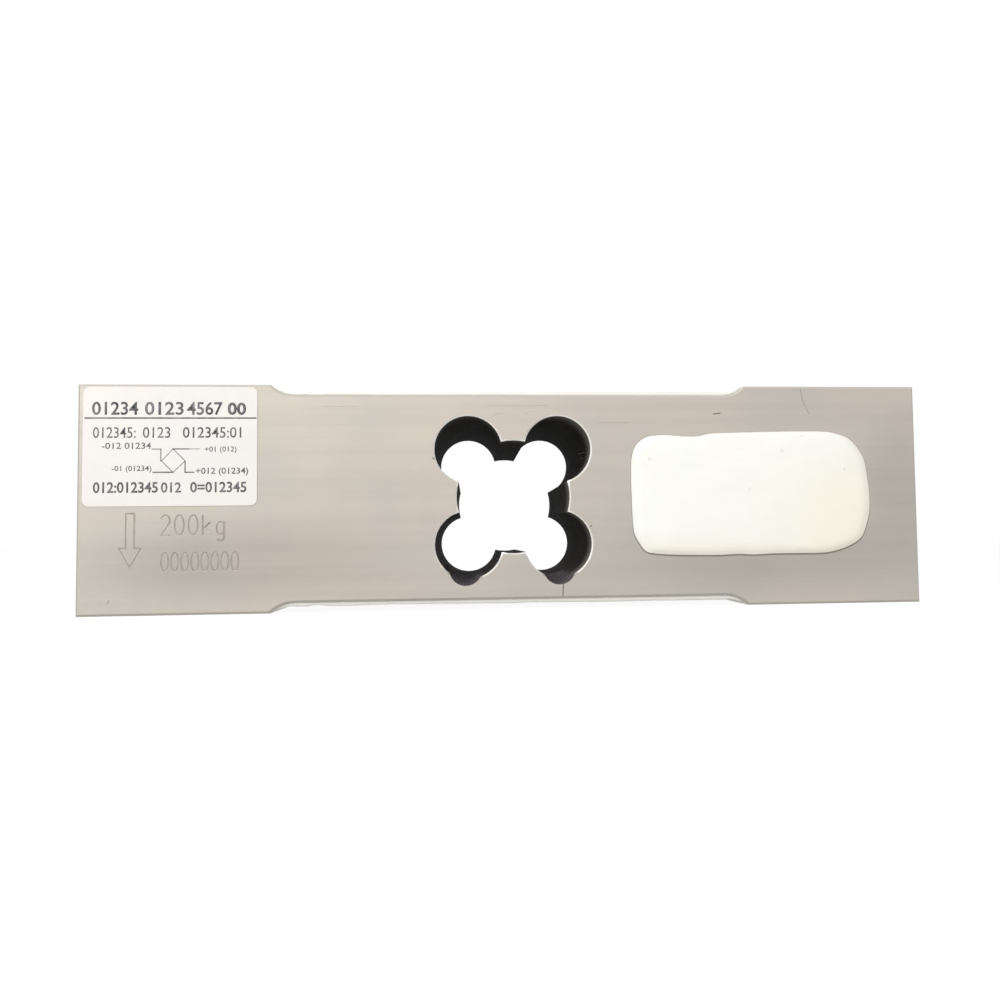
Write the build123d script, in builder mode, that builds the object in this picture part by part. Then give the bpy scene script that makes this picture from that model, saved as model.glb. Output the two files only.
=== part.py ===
from build123d import *
import math
import os

# Single point load cell: a machined aluminium beam whose middle is opened by a clover of five
# bores, so that its two ends move parallel to each other under load. The end on the left carries
# the load, the end on the right is bolted down and holds the sealed wiring pocket.
#
# Frame: X runs along the beam, from the loaded end to the fixed end. Y runs from the labelled
# front face to the back. Z is up, and the origin is at the middle of the underside.
# All sizes are in millimetres.

# Beam outline
beam_length = 150.0
beam_height = 40.0
beam_depth = 35.0
pad_share = 0.21667        # of the beam's length: each raised mounting pad, above and below
waist_relief = 1.8         # the waist lies this far below the pads
relief_cutter_radius = 6.0
edge_break = 0.4

# Clover opening
lobe_radius = 6.0
lobe_spacing_x = 16.0
lobe_spacing_z = 17.0
core_radius = 10.1
rim_break = 0.25

# Filed trim notches in the two lower lobes, deepest at the front face
trim_file_radius = 2.9
trim_depth = 1.25
trim_run = 18.0
trim_offsets = {"left": -0.6, "right": 0.1}

# Threaded mounting holes: two in line in the loaded end's top pad, two under the fixed end
bolt_radius = 4.0
bolt_depth = 16.0
bolt_spacing = 15.0
bolt_mouth_break = 0.5
drill_point_angle = 118.0

# Wiring pocket in the front face of the fixed end
pocket_place_share = 0.29  # of the beam's length: from its middle to the pocket's
pocket_length = 40.4
pocket_height = 18.4
pocket_depth = 9.0
pocket_corner_radius = 6.0

# Wire passages from the waist into the pocket
passage_inset = 6.7        # from the pocket's left end
passage_radius = 2.1

# Cable inlet in the end face, with its rubber seal
inlet_inset = 5.0          # the inlet's axis lies this far behind the front face
inlet_radius = 2.9
seal_seat_radius = 3.9
seal_seat_depth = 5.0
seal_bore_radius = 2.5
seal_flange_radius = 4.3
seal_flange_thickness = 0.8
seal_flange_round = 0.2

# Potting over the pocket
potting_lip = 1.9          # how far the potting spreads past the pocket on every side
potting_crown = 1.2
potting_round = 1.0

# Strain gauges, their terminals and their silicone coats
gauge_length = 8.0
gauge_width = 6.0
gauge_carrier = 0.08
gauge_foil = 0.05
gauge_strands = 6
gauge_strand_width = 0.3
gauge_strand_spacing = 0.6
gauge_strand_length = 4.6
gauge_tab_size = 1.3
gauge_tail_width = 0.4
terminal_gap = 0.9         # between the two terminals of one pair
terminal_length = 2.8
terminal_width = 5.0
terminal_thickness = 0.1
terminal_land = 0.05
terminal_land_size = 1.6
terminal_land_spacing = 2.5
coat_thickness = 0.9
coat_setback = 0.5         # from the beam's front and back faces to the coat's edges
coat_end_gap = 0.5         # the coat stops this far short of the pads, up the steps
coat_round = 0.3

# Wires
wire_radius = 0.2
wire_spacing = 1.2
wire_bend_radius = 1.0
wire_first_lane = 6.0      # the lane nearest the gauges runs this far from the beam's middle
wire_end_depth = 3.8       # below the pocket's edge, where a wire turns in to the board
jumper_side = 0.3

# Circuit board and what is soldered on it
board_right_gap = 7.2      # from the board to the pocket's right end
board_height = 14.0
board_thickness = 1.6
board_left_gap = 3.2       # from the pocket's left end to the board
board_corner_radius = 1.0
land_thickness = 0.1
lead_land_width = 0.8
lead_land_height = 2.0
cable_land_size = 1.6
cable_land_spacing = 2.6
cable_land_count = 5
cable_land_inset = 2.2
chip_length = 3.2
chip_width = 1.6
chip_thickness = 0.6
chip_cap = 0.5
chip_cap_proud = 0.05
chip_row_spacing = 4.2

# Rating label
label_length = 29.3
label_height = 20.7
label_thickness = 0.12
label_end_gap = 1.0
label_top_gap = 0.5
label_corner_radius = 1.2

# Places that several pieces share
half_length = beam_length / 2
pad_length = pad_share * beam_length
half_depth = beam_depth / 2
mid_z = beam_height / 2
waist_top = beam_height - waist_relief
waist_bottom = waist_relief
front_y = -half_depth
pocket_floor_y = front_y + pocket_depth
passage_y = front_y + pocket_depth / 2
pocket_x = pocket_place_share * beam_length
pocket_left = pocket_x - pocket_length / 2
pocket_right = pocket_x + pocket_length / 2
pocket_top = mid_z + pocket_height / 2
passage_x = pocket_left + passage_inset
inlet_y = front_y + inlet_inset
pad_middle = half_length - pad_length / 2
lobe_centres = {
    (side, level): (sx * lobe_spacing_x / 2, mid_z + sz * lobe_spacing_z / 2)
    for side, sx in (("left", -1), ("right", 1))
    for level, sz in (("bottom", -1), ("top", 1))
}
front_plane = Plane((0, front_y, 0), x_dir=(1, 0, 0), z_dir=(0, -1, 0))
back_plane = Plane((0, half_depth, 0), x_dir=(1, 0, 0), z_dir=(0, 1, 0))
end_plane = Plane((half_length, inlet_y, mid_z), x_dir=(0, 1, 0), z_dir=(1, 0, 0))
floor_plane = Plane((0, pocket_floor_y, 0), x_dir=(1, 0, 0), z_dir=(0, -1, 0))
middle_plane = Plane.XY.offset(mid_z)


def write(part, name):
    """Label one finished piece and write it as its own STEP file."""
    part.label = name
    export_step(part, f"parts/{name}.step")


# Beam: outline with the two milled reliefs
relief_run = math.sqrt(relief_cutter_radius**2 - (relief_cutter_radius - waist_relief) ** 2)
relief_half_width = half_length - pad_length - relief_run + relief_cutter_radius
relief_height = 2 * relief_cutter_radius

with BuildPart() as beam:
    with BuildSketch(front_plane) as outline:
        with Locations((0, mid_z)):
            Rectangle(beam_length, beam_height)
        for relief_floor, side in ((waist_top, 1), (waist_bottom, -1)):
            with BuildSketch(front_plane, mode=Mode.PRIVATE) as relief:
                with Locations((0, relief_floor + side * relief_height / 2)):
                    Rectangle(2 * relief_half_width, relief_height)
                corners = relief.vertices().group_by(Axis.Z)[0 if side > 0 else -1]
                fillet(corners, relief_cutter_radius)
            add(relief.sketch, mode=Mode.SUBTRACT)
    extrude(amount=-beam_depth)
    chamfer(beam.faces().filter_by(Axis.Y).edges(), edge_break)

    # Clover opening, with its broken rims
    bores = [(x, z, lobe_radius) for x, z in lobe_centres.values()]
    bores.append((0, mid_z, core_radius))
    with BuildSketch(front_plane) as clover:
        for x, z, radius in bores:
            with Locations((x, z)):
                Circle(radius)
    extrude(amount=-beam_depth, mode=Mode.SUBTRACT)
    for face_plane in (front_plane, back_plane):
        for x, z, radius in bores:
            on_plane = face_plane.to_local_coords(Vector(x, face_plane.origin.Y, z))
            with Locations(face_plane.offset(-rim_break / 2)):
                with Locations((on_plane.X, on_plane.Y)):
                    Cone(radius, radius + rim_break, rim_break, mode=Mode.SUBTRACT)

    # Filed notches: a round file held at a slight slope, so that the cut runs out with depth
    file_slope = math.degrees(math.atan2(trim_depth, trim_run))
    file_length = 3 * trim_run
    for side, offset in trim_offsets.items():
        x, z = lobe_centres[side, "bottom"]
        mouth_z = z - lobe_radius - trim_depth + trim_file_radius
        with Locations(Location((x + offset, front_y, mouth_z), (90 + file_slope, 0, 0))):
            Cylinder(trim_file_radius, file_length, mode=Mode.SUBTRACT)

    # Threaded mounting holes, with a drill point and a broken mouth
    point_height = bolt_radius / math.tan(math.radians(drill_point_angle / 2))
    for end, pad_z in ((-1, beam_height), (1, 0)):
        pad_plane = Plane((end * pad_middle, 0, pad_z), x_dir=(1, 0, 0), z_dir=(0, 0, -end))
        with Locations(pad_plane):
            with GridLocations(bolt_spacing, 0, 2, 1):
                Hole(bolt_radius, bolt_depth)
                with Locations((0, 0, -bolt_depth - point_height / 2)):
                    Cone(0, bolt_radius, point_height, mode=Mode.SUBTRACT)
                with Locations((0, 0, -bolt_mouth_break / 2)):
                    mouth_radius = bolt_radius + bolt_mouth_break
                    Cone(bolt_radius, mouth_radius, bolt_mouth_break, mode=Mode.SUBTRACT)

    # Wiring pocket
    with BuildSketch(front_plane) as pocket:
        with Locations((pocket_x, mid_z)):
            RectangleRounded(pocket_length, pocket_height, pocket_corner_radius)
    extrude(amount=-pocket_depth, mode=Mode.SUBTRACT)

    # Wire passages, straight through from one side of the waist to the other
    with BuildSketch(Plane.XY.offset(waist_bottom)) as passages:
        with Locations((passage_x, passage_y)):
            Circle(passage_radius)
    extrude(amount=waist_top - waist_bottom, mode=Mode.SUBTRACT)

    # Cable inlet and the seat of its seal
    with BuildSketch(end_plane) as inlet:
        Circle(inlet_radius)
    extrude(amount=-(half_length - pocket_right + pocket_corner_radius), mode=Mode.SUBTRACT)
    with BuildSketch(end_plane) as seal_seat:
        Circle(seal_seat_radius)
    extrude(amount=-seal_seat_depth, mode=Mode.SUBTRACT)
    with BuildSketch(end_plane) as flange_recess:
        Circle(seal_flange_radius)
    extrude(amount=-seal_flange_thickness, mode=Mode.SUBTRACT)

# Cable seal: a rubber bush whose small flange lies flush in the end face
with BuildPart() as cable_seal:
    with BuildSketch(end_plane.offset(-seal_seat_depth)):
        Circle(seal_seat_radius)
        Circle(seal_bore_radius, mode=Mode.SUBTRACT)
    extrude(amount=seal_seat_depth)
    with BuildSketch(end_plane.offset(-seal_flange_thickness)):
        Circle(seal_flange_radius)
        Circle(seal_bore_radius, mode=Mode.SUBTRACT)
    extrude(amount=seal_flange_thickness)
    fillet(cable_seal.faces().sort_by(Axis.X)[-1].edges(), seal_flange_round)


# Strain gauges: foil grid and solder tabs on a thin carrier, with two short ribbon tails
gauge_x = lobe_spacing_x / 2
terminal_x = terminal_gap / 2 + terminal_length / 2
terminal_surface = waist_top + terminal_thickness + terminal_land
grid_start_y = -(gauge_strands - 1) / 2 * gauge_strand_spacing
grid_outer_x = gauge_length / 2 - (gauge_length - gauge_strand_length) / 4
foil_z = waist_top + gauge_carrier


def make_gauge():
    """The upper gauge of the fixed end, grid along the beam and tabs towards its middle."""
    with BuildPart() as gauge:
        with BuildSketch(Plane.XY.offset(waist_top)):
            with Locations((gauge_x, 0)):
                RectangleRounded(gauge_length, gauge_width, 0.1 * gauge_width)
        extrude(amount=gauge_carrier)
        with BuildSketch(Plane.XY.offset(foil_z)):
            strand_x = gauge_x + grid_outer_x - gauge_strand_length / 2
            with Locations((strand_x, 0)):
                with GridLocations(0, gauge_strand_spacing, 1, gauge_strands):
                    Rectangle(gauge_strand_length, gauge_strand_width)
            for loop in range(gauge_strands - 1):
                turn_x = strand_x + (0.5 - loop % 2) * (gauge_strand_length - gauge_strand_width)
                turn_y = grid_start_y + (loop + 0.5) * gauge_strand_spacing
                with Locations((turn_x, turn_y)):
                    Rectangle(gauge_strand_width, gauge_strand_spacing + gauge_strand_width)
            inner_x = strand_x - gauge_strand_length / 2
            for side in (-1, 1):
                with Locations((inner_x - gauge_tab_size / 2, side * terminal_land_spacing / 2)):
                    Rectangle(gauge_tab_size, gauge_tab_size)
                tail_start = inner_x - gauge_tab_size / 2
                tail_end = terminal_x + terminal_length / 2
                with Locations(((tail_start + tail_end) / 2, side * terminal_land_spacing / 2)):
                    Rectangle(tail_start - tail_end, gauge_tail_width)
        extrude(amount=gauge_foil)
    return gauge.part


def make_terminal():
    """The upper solder terminal of the fixed end: a thin strip with two copper lands."""
    with BuildPart() as terminal:
        with BuildSketch(Plane.XY.offset(waist_top)):
            with Locations((terminal_x, 0)):
                Rectangle(terminal_length, terminal_width)
        extrude(amount=terminal_thickness)
        with BuildSketch(Plane.XY.offset(waist_top + terminal_thickness)):
            with Locations((terminal_x, 0)):
                with GridLocations(0, terminal_land_spacing, 1, 2):
                    Rectangle(terminal_land_size, terminal_land_size)
        extrude(amount=terminal_land)
    return terminal.part


def make_jumper():
    """The bare ribbon that joins the two upper terminals across their rear lands."""
    with BuildPart() as jumper:
        with BuildSketch(Plane.XY.offset(terminal_surface)):
            with Locations((0, terminal_land_spacing / 2)):
                Rectangle(2 * terminal_x, jumper_side)
        extrude(amount=jumper_side)
    return jumper.part


# Board place, which the wires end on
board_left = pocket_left + board_left_gap
board_length = pocket_length - board_left_gap - board_right_gap
board_face_y = pocket_floor_y - board_thickness
land_face_y = board_face_y - land_thickness
wire_end_z = pocket_top - wire_end_depth


def make_lead(lane, start_x, start_y):
    """One upper gauge wire: across the waist in its lane, down the passage and in to the board."""
    lane_y = -(wire_first_lane + lane * wire_spacing)
    drop_x = passage_x + (1 - lane) * wire_spacing
    wire_z = terminal_surface + wire_radius
    route = [
        (start_x, start_y, wire_z),
        (start_x, lane_y, wire_z),
        (drop_x, lane_y, wire_z),
        (drop_x, passage_y, wire_z),
        (drop_x, passage_y, wire_end_z),
        (drop_x, land_face_y, wire_end_z),
    ]
    with BuildPart() as lead:
        with BuildLine() as path:
            FilletPolyline(*route, radius=wire_bend_radius)
        with BuildSketch(Plane(route[0], x_dir=(1, 0, 0), z_dir=(0, -1, 0))):
            Circle(wire_radius)
        sweep(path=path.wires()[0])
    return lead.part


# The upper set of wiring, then its copy underneath
land_y = -terminal_land_spacing / 2
between_y = terminal_land_spacing / 2 - jumper_side / 2
upper = {
    "gauge_top_right": make_gauge(),
    "terminal_top_right": make_terminal(),
    "jumper_top": make_jumper(),
    "lead_top_right": make_lead(0, terminal_x, land_y),
    "lead_top_middle": make_lead(1, 0, between_y),
    "lead_top_left": make_lead(2, -terminal_x, land_y),
}
upper["gauge_top_left"] = mirror(upper["gauge_top_right"], about=Plane.YZ)
upper["terminal_top_left"] = mirror(upper["terminal_top_right"], about=Plane.YZ)
wiring = dict(upper)
for name, piece in upper.items():
    wiring[name.replace("top", "bottom")] = mirror(piece, about=middle_plane)

# Circuit board, lying on the pocket's floor
with BuildPart() as circuit_board:
    with BuildSketch(floor_plane):
        with Locations((board_left + board_length / 2, mid_z)):
            RectangleRounded(board_length, board_height, board_corner_radius)
    extrude(amount=board_thickness)

board_front = floor_plane.offset(board_thickness)
cable_land_x = board_left + board_length - cable_land_inset

# Copper lands for the six gauge wires and for the cable's cores
with BuildPart() as board_lands:
    with BuildSketch(board_front):
        for end_z in (wire_end_z, beam_height - wire_end_z):
            with Locations((passage_x, end_z)):
                with GridLocations(wire_spacing, 0, 3, 1):
                    Rectangle(lead_land_width, lead_land_height)
        with Locations((cable_land_x, mid_z)):
            with GridLocations(0, cable_land_spacing, 1, cable_land_count):
                Rectangle(cable_land_size, cable_land_size)
    extrude(amount=land_thickness)


def make_chip(x, z):
    """A chip resistor on the board, its two end caps standing slightly proud of its body."""
    with BuildPart() as chip:
        with BuildSketch(board_front):
            with Locations((x, z)):
                Rectangle(chip_length - 2 * chip_cap, chip_width)
        extrude(amount=chip_thickness)
        with BuildSketch(board_front):
            with Locations((x, z)):
                with GridLocations(chip_length - chip_cap, 0, 2, 1):
                    Rectangle(chip_cap, chip_width)
        extrude(amount=chip_thickness + chip_cap_proud)
    return chip.part


# Two columns of chips share the room between the wires' lands and the cable's
chip_room_left = passage_x + wire_spacing + lead_land_width / 2
chip_room = cable_land_x - cable_land_size / 2 - chip_room_left
chip_columns = [chip_room_left + chip_room * step / 4 for step in (1, 3)]
chips = {
    "span_resistor_upper": make_chip(chip_columns[0], mid_z + chip_row_spacing),
    "span_resistor_lower": make_chip(chip_columns[0], mid_z - chip_row_spacing),
    "zero_resistor": make_chip(chip_columns[0], mid_z),
    "trim_resistor_upper": make_chip(chip_columns[1], mid_z + chip_row_spacing),
    "trim_resistor_lower": make_chip(chip_columns[1], mid_z - chip_row_spacing),
}

# Potting: it fills the pocket and the passages around the board and wires, and spreads a
# little over the face
with BuildPart() as side_potting:
    with BuildSketch(front_plane):
        with Locations((pocket_x, mid_z)):
            RectangleRounded(pocket_length, pocket_height, pocket_corner_radius)
    extrude(amount=-pocket_depth)
    with BuildSketch(front_plane):
        with Locations((pocket_x, mid_z)):
            RectangleRounded(
                pocket_length + 2 * potting_lip,
                pocket_height + 2 * potting_lip,
                pocket_corner_radius + potting_lip,
            )
    extrude(amount=potting_crown)
    fillet(side_potting.faces().sort_by(Axis.Y)[0].edges(), potting_round)
    with BuildSketch(Plane.XY.offset(waist_bottom)):
        with Locations((passage_x, passage_y)):
            Circle(passage_radius)
    extrude(amount=waist_top - waist_bottom)
    add(circuit_board.part, mode=Mode.SUBTRACT)
    add(board_lands.part, mode=Mode.SUBTRACT)
    for chip in chips.values():
        add(chip, mode=Mode.SUBTRACT)
    for name, piece in wiring.items():
        if name.startswith("lead"):
            add(piece, mode=Mode.SUBTRACT)

# Silicone coat over the upper gauges and wires, following the relief, then its copy underneath
with BuildPart() as top_coat:
    with BuildSketch(front_plane.offset(-coat_setback)) as coat_profile:
        for inset, mode in ((0, Mode.ADD), (coat_thickness, Mode.SUBTRACT)):
            corner_radius = relief_cutter_radius - inset
            with BuildSketch(front_plane.offset(-coat_setback), mode=Mode.PRIVATE) as layer:
                with Locations((0, waist_top + inset + relief_height / 2)):
                    Rectangle(2 * (relief_half_width - inset), relief_height)
                fillet(layer.vertices().group_by(Axis.Z)[0], corner_radius)
            add(layer.sketch, mode=mode)
        with Locations((0, waist_top + (waist_relief - coat_end_gap) / 2)):
            Rectangle(beam_length, waist_relief - coat_end_gap, mode=Mode.INTERSECT)
    extrude(amount=-(beam_depth - 2 * coat_setback))
    coat_face = top_coat.faces().filter_by(Axis.Z).sort_by(SortBy.AREA)[-2:].sort_by(Axis.Z)[-1]
    fillet(coat_face.edges().filter_by(Axis.X), coat_round)
    for piece in upper.values():
        add(piece, mode=Mode.SUBTRACT)
bottom_coat = mirror(top_coat.part, about=middle_plane)

# Rating label on the front face of the loaded end
label_left = -half_length + label_end_gap
label_top = beam_height - label_top_gap
with BuildPart() as rating_label:
    with BuildSketch(front_plane):
        with Locations((label_left + label_length / 2, label_top - label_height / 2)):
            RectangleRounded(label_length, label_height, label_corner_radius)
    extrude(amount=label_thickness)

os.makedirs("parts", exist_ok=True)
write(beam.part, "beam")
write(cable_seal.part, "cable_seal")
write(circuit_board.part, "circuit_board")
write(board_lands.part, "board_lands")
write(side_potting.part, "side_potting")
write(top_coat.part, "top_coat")
write(bottom_coat, "bottom_coat")
write(rating_label.part, "rating_label")
for name, piece in {**wiring, **chips}.items():
    write(piece, name)
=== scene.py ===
"""Looks of a single point load cell: a clover-bored aluminium beam, its silicone and its label.

Lengths in the classes are millimetres in the CAD frame: X along the beam from the loaded end to
the fixed end, Y from the labelled front face to the back, Z up from the underside.
"""

import logging
import math
from dataclasses import dataclass
from enum import Enum
from typing import Any, Callable, Iterable, Sequence

import bmesh
import bpy
from mathutils import Matrix, Vector, noise


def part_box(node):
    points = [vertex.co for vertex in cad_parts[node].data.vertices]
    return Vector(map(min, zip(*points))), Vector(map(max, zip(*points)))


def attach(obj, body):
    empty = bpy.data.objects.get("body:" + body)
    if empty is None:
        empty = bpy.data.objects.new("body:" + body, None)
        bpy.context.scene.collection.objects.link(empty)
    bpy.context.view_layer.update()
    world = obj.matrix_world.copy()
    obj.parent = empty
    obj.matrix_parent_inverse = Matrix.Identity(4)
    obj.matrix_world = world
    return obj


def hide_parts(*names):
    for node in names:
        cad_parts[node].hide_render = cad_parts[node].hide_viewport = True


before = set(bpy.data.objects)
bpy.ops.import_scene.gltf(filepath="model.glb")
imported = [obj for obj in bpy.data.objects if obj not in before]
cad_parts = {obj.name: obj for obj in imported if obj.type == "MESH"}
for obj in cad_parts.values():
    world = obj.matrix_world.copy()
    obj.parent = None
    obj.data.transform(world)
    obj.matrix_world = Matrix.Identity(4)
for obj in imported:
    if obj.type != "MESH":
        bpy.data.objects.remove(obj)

MM = 0.001
BODY = "root"
log = logging.getLogger("load_cell")

Point = tuple[float, float]
Span = tuple[float, float]
Place = tuple[float, float, float]
Colour = tuple[float, float, float]


class Side(Enum):
    """Which side of the beam a piece is on, as the sign of its height above the middle."""

    TOP = 1
    BOTTOM = -1


# Node helpers


class Graph:
    """Adds nodes to one node tree and links them in the same call."""

    def __init__(self, tree: bpy.types.NodeTree) -> None:
        """Start with an empty tree.

        Args:
            tree: the shader or geometry tree to fill.
        """
        self.tree = tree
        tree.nodes.clear()

    def feed(self, socket: bpy.types.NodeSocket, value: Any) -> None:
        """Link or set one input.

        Args:
            socket: the input.
            value: the socket that feeds it, or its value; a colour may have three parts.
        """
        if isinstance(value, bpy.types.NodeSocket):
            self.tree.links.new(value, socket)
        elif socket.type == "RGBA" and len(value) == 3:
            socket.default_value = (*value, 1.0)
        else:
            socket.default_value = value

    def add(
        self, kind: str, inputs: dict[Any, Any] | None = None, **settings: Any
    ) -> bpy.types.Node:
        """Add one node.

        Args:
            kind: the node's type name.
            inputs: socket name or index to a value, or to the socket that feeds it.
            **settings: properties of the node itself.

        Returns:
            The new node.
        """
        node = self.tree.nodes.new(kind)
        for key, value in settings.items():
            setattr(node, key, value)
        for key, value in (inputs or {}).items():
            self.feed(node.inputs[key], value)
        return node

    def math(self, operation: str, *values: Any, clamp: bool = False) -> bpy.types.NodeSocket:
        """Add a Math node and return its result."""
        inputs = dict(enumerate(values))
        return self.add("ShaderNodeMath", inputs, operation=operation, use_clamp=clamp).outputs[0]

    def vector(self, operation: str, *values: Any) -> bpy.types.NodeSocket:
        """Add a Vector Math node and return its result."""
        inputs = dict(enumerate(values))
        return self.add("ShaderNodeVectorMath", inputs, operation=operation).outputs[0]

    def distance(self, first: Any, second: Any) -> bpy.types.NodeSocket:
        """How far apart two places are."""
        node = self.add("ShaderNodeVectorMath", {0: first, 1: second}, operation="DISTANCE")
        return node.outputs["Value"]

    def ramp(
        self, value: Any, low: float, high: float, start: float = 0.0, end: float = 1.0
    ) -> bpy.types.NodeSocket:
        """Fade smoothly from one value to another.

        Args:
            value: the socket to read.
            low: where the fade starts.
            high: where it ends.
            start: the result up to low.
            end: the result from high on.

        Returns:
            The faded value.
        """
        node = self.add(
            "ShaderNodeMapRange",
            {"Value": value, "From Min": low, "From Max": high, "To Min": start, "To Max": end},
            interpolation_type="SMOOTHSTEP",
        )
        return node.outputs["Result"]

    def mix(self, mask: Any, first: Any, second: Any) -> bpy.types.NodeSocket:
        """Mix two colours.

        Args:
            mask: the second colour's share.
            first: the colour where the mask is 0.
            second: the colour where the mask is 1.

        Returns:
            The mixed colour.
        """
        node = self.add("ShaderNodeMix", data_type="RGBA")
        for name, value in (("Factor_Float", mask), ("A_Color", first), ("B_Color", second)):
            self.feed(next(s for s in node.inputs if s.identifier == name), value)
        return next(s for s in node.outputs if s.identifier == "Result_Color")

    def noise(
        self, vector: Any, scale: Any, detail: float, roughness: float
    ) -> bpy.types.NodeSocket:
        """Add a Noise Texture and return its grey value."""
        inputs = {"Vector": vector, "Scale": scale, "Detail": detail, "Roughness": roughness}
        return self.add("ShaderNodeTexNoise", inputs).outputs["Fac"]


Sockets = dict[str, tuple[str, Any]]
Outputs = dict[str, bpy.types.NodeSocket]


def shader_group(
    name: str, inputs: Sockets, outputs: dict[str, str], build: Callable[[Graph, Outputs], Outputs]
) -> bpy.types.NodeTree:
    """Make one reusable shader group.

    Args:
        name: the group's name.
        inputs: input name to its socket type and its default.
        outputs: output name to its socket type.
        build: fills the group, from its inputs' sockets to its outputs' values.

    Returns:
        The finished group.
    """
    tree = bpy.data.node_groups.new(name, "ShaderNodeTree")
    for key, (kind, default) in inputs.items():
        socket = tree.interface.new_socket(key, in_out="INPUT", socket_type=kind)
        if default is not None:
            socket.default_value = default
    for key, kind in outputs.items():
        tree.interface.new_socket(key, in_out="OUTPUT", socket_type=kind)
    graph = Graph(tree)
    source = graph.add("NodeGroupInput")
    results = build(graph, {key: source.outputs[key] for key in inputs})
    graph.add("NodeGroupOutput", results)
    return tree


def _grain(graph: Graph, given: Outputs) -> Outputs:
    """Lines drawn out along the direction whose stretch is smallest.

    Args:
        graph: the group's graph.
        given: its inputs, Vector and Stretch.

    Returns:
        Height, the relief, and Streak, its broadest part.
    """
    drawn = graph.vector("MULTIPLY", given["Vector"], given["Stretch"])
    fine = graph.noise(drawn, 1.0, 5.0, 0.65)
    broad = graph.noise(graph.vector("MULTIPLY", drawn, (0.5, 0.22, 0.22)), 1.0, 2.0, 0.5)
    return {"Height": graph.math("ADD", fine, graph.math("MULTIPLY", broad, 0.6)), "Streak": broad}


def _cloud(graph: Graph, given: Outputs) -> Outputs:
    """A soft drift between two colours, with a finer mottle over it.

    Args:
        graph: the group's graph.
        given: its inputs, Vector, Scale, Warm and Cool.

    Returns:
        Color, the drifting colour.
    """
    broad = graph.noise(given["Vector"], given["Scale"], 1.5, 0.5)
    finer = graph.noise(given["Vector"], graph.math("MULTIPLY", given["Scale"], 5.0), 3.0, 0.6)
    blend = graph.math("MULTIPLY", finer, 0.2)
    blend = graph.math("ADD", graph.math("MULTIPLY", broad, 0.8), blend)
    return {"Color": graph.mix(graph.ramp(blend, 0.32, 0.68), given["Warm"], given["Cool"])}


def _smudge(graph: Graph, given: Outputs) -> Outputs:
    """Patches where a surface has been handled.

    Args:
        graph: the group's graph.
        given: its inputs, Vector, Scale and Amount.

    Returns:
        Mask, from 0 to Amount.
    """
    patch = graph.noise(given["Vector"], given["Scale"], 3.0, 0.7)
    return {"Mask": graph.math("MULTIPLY", graph.ramp(patch, 0.45, 0.75), given["Amount"])}


def _specks(graph: Graph, given: Outputs) -> Outputs:
    """Sparse small dots, such as dust, pits or bubbles.

    Args:
        graph: the group's graph.
        given: its inputs, Vector, Scale and Rarity.

    Returns:
        Mask, which is 1 in a dot.
    """
    inputs = {"Vector": given["Vector"], "Scale": given["Scale"]}
    cells = graph.add("ShaderNodeTexVoronoi", inputs).outputs
    chance = graph.add("ShaderNodeSeparateColor", {0: cells["Color"]}).outputs[0]
    chosen = graph.math("GREATER_THAN", chance, given["Rarity"])
    dot = graph.ramp(cells["Distance"], 0.05, 0.16, 1.0, 0.0)
    return {"Mask": graph.math("MULTIPLY", dot, chosen)}


class Effects:
    """The shader groups that more than one finish uses, built once."""

    def __init__(self) -> None:
        """Build every group."""
        vector, number, colour = "NodeSocketVector", "NodeSocketFloat", "NodeSocketColor"
        self.grain = shader_group(
            "drawn_grain",
            {"Vector": (vector, None), "Stretch": (vector, (1.0, 1.0, 1.0))},
            {"Height": number, "Streak": number},
            _grain,
        )
        self.cloud = shader_group(
            "cloudy_tint",
            {
                "Vector": (vector, None),
                "Scale": (number, 0.05),
                "Warm": (colour, None),
                "Cool": (colour, None),
            },
            {"Color": colour},
            _cloud,
        )
        self.smudge = shader_group(
            "handling_smudges",
            {"Vector": (vector, None), "Scale": (number, 0.2), "Amount": (number, 1.0)},
            {"Mask": number},
            _smudge,
        )
        self.specks = shader_group(
            "small_specks",
            {"Vector": (vector, None), "Scale": (number, 1.0), "Rarity": (number, 0.8)},
            {"Mask": number},
            _specks,
        )


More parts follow.
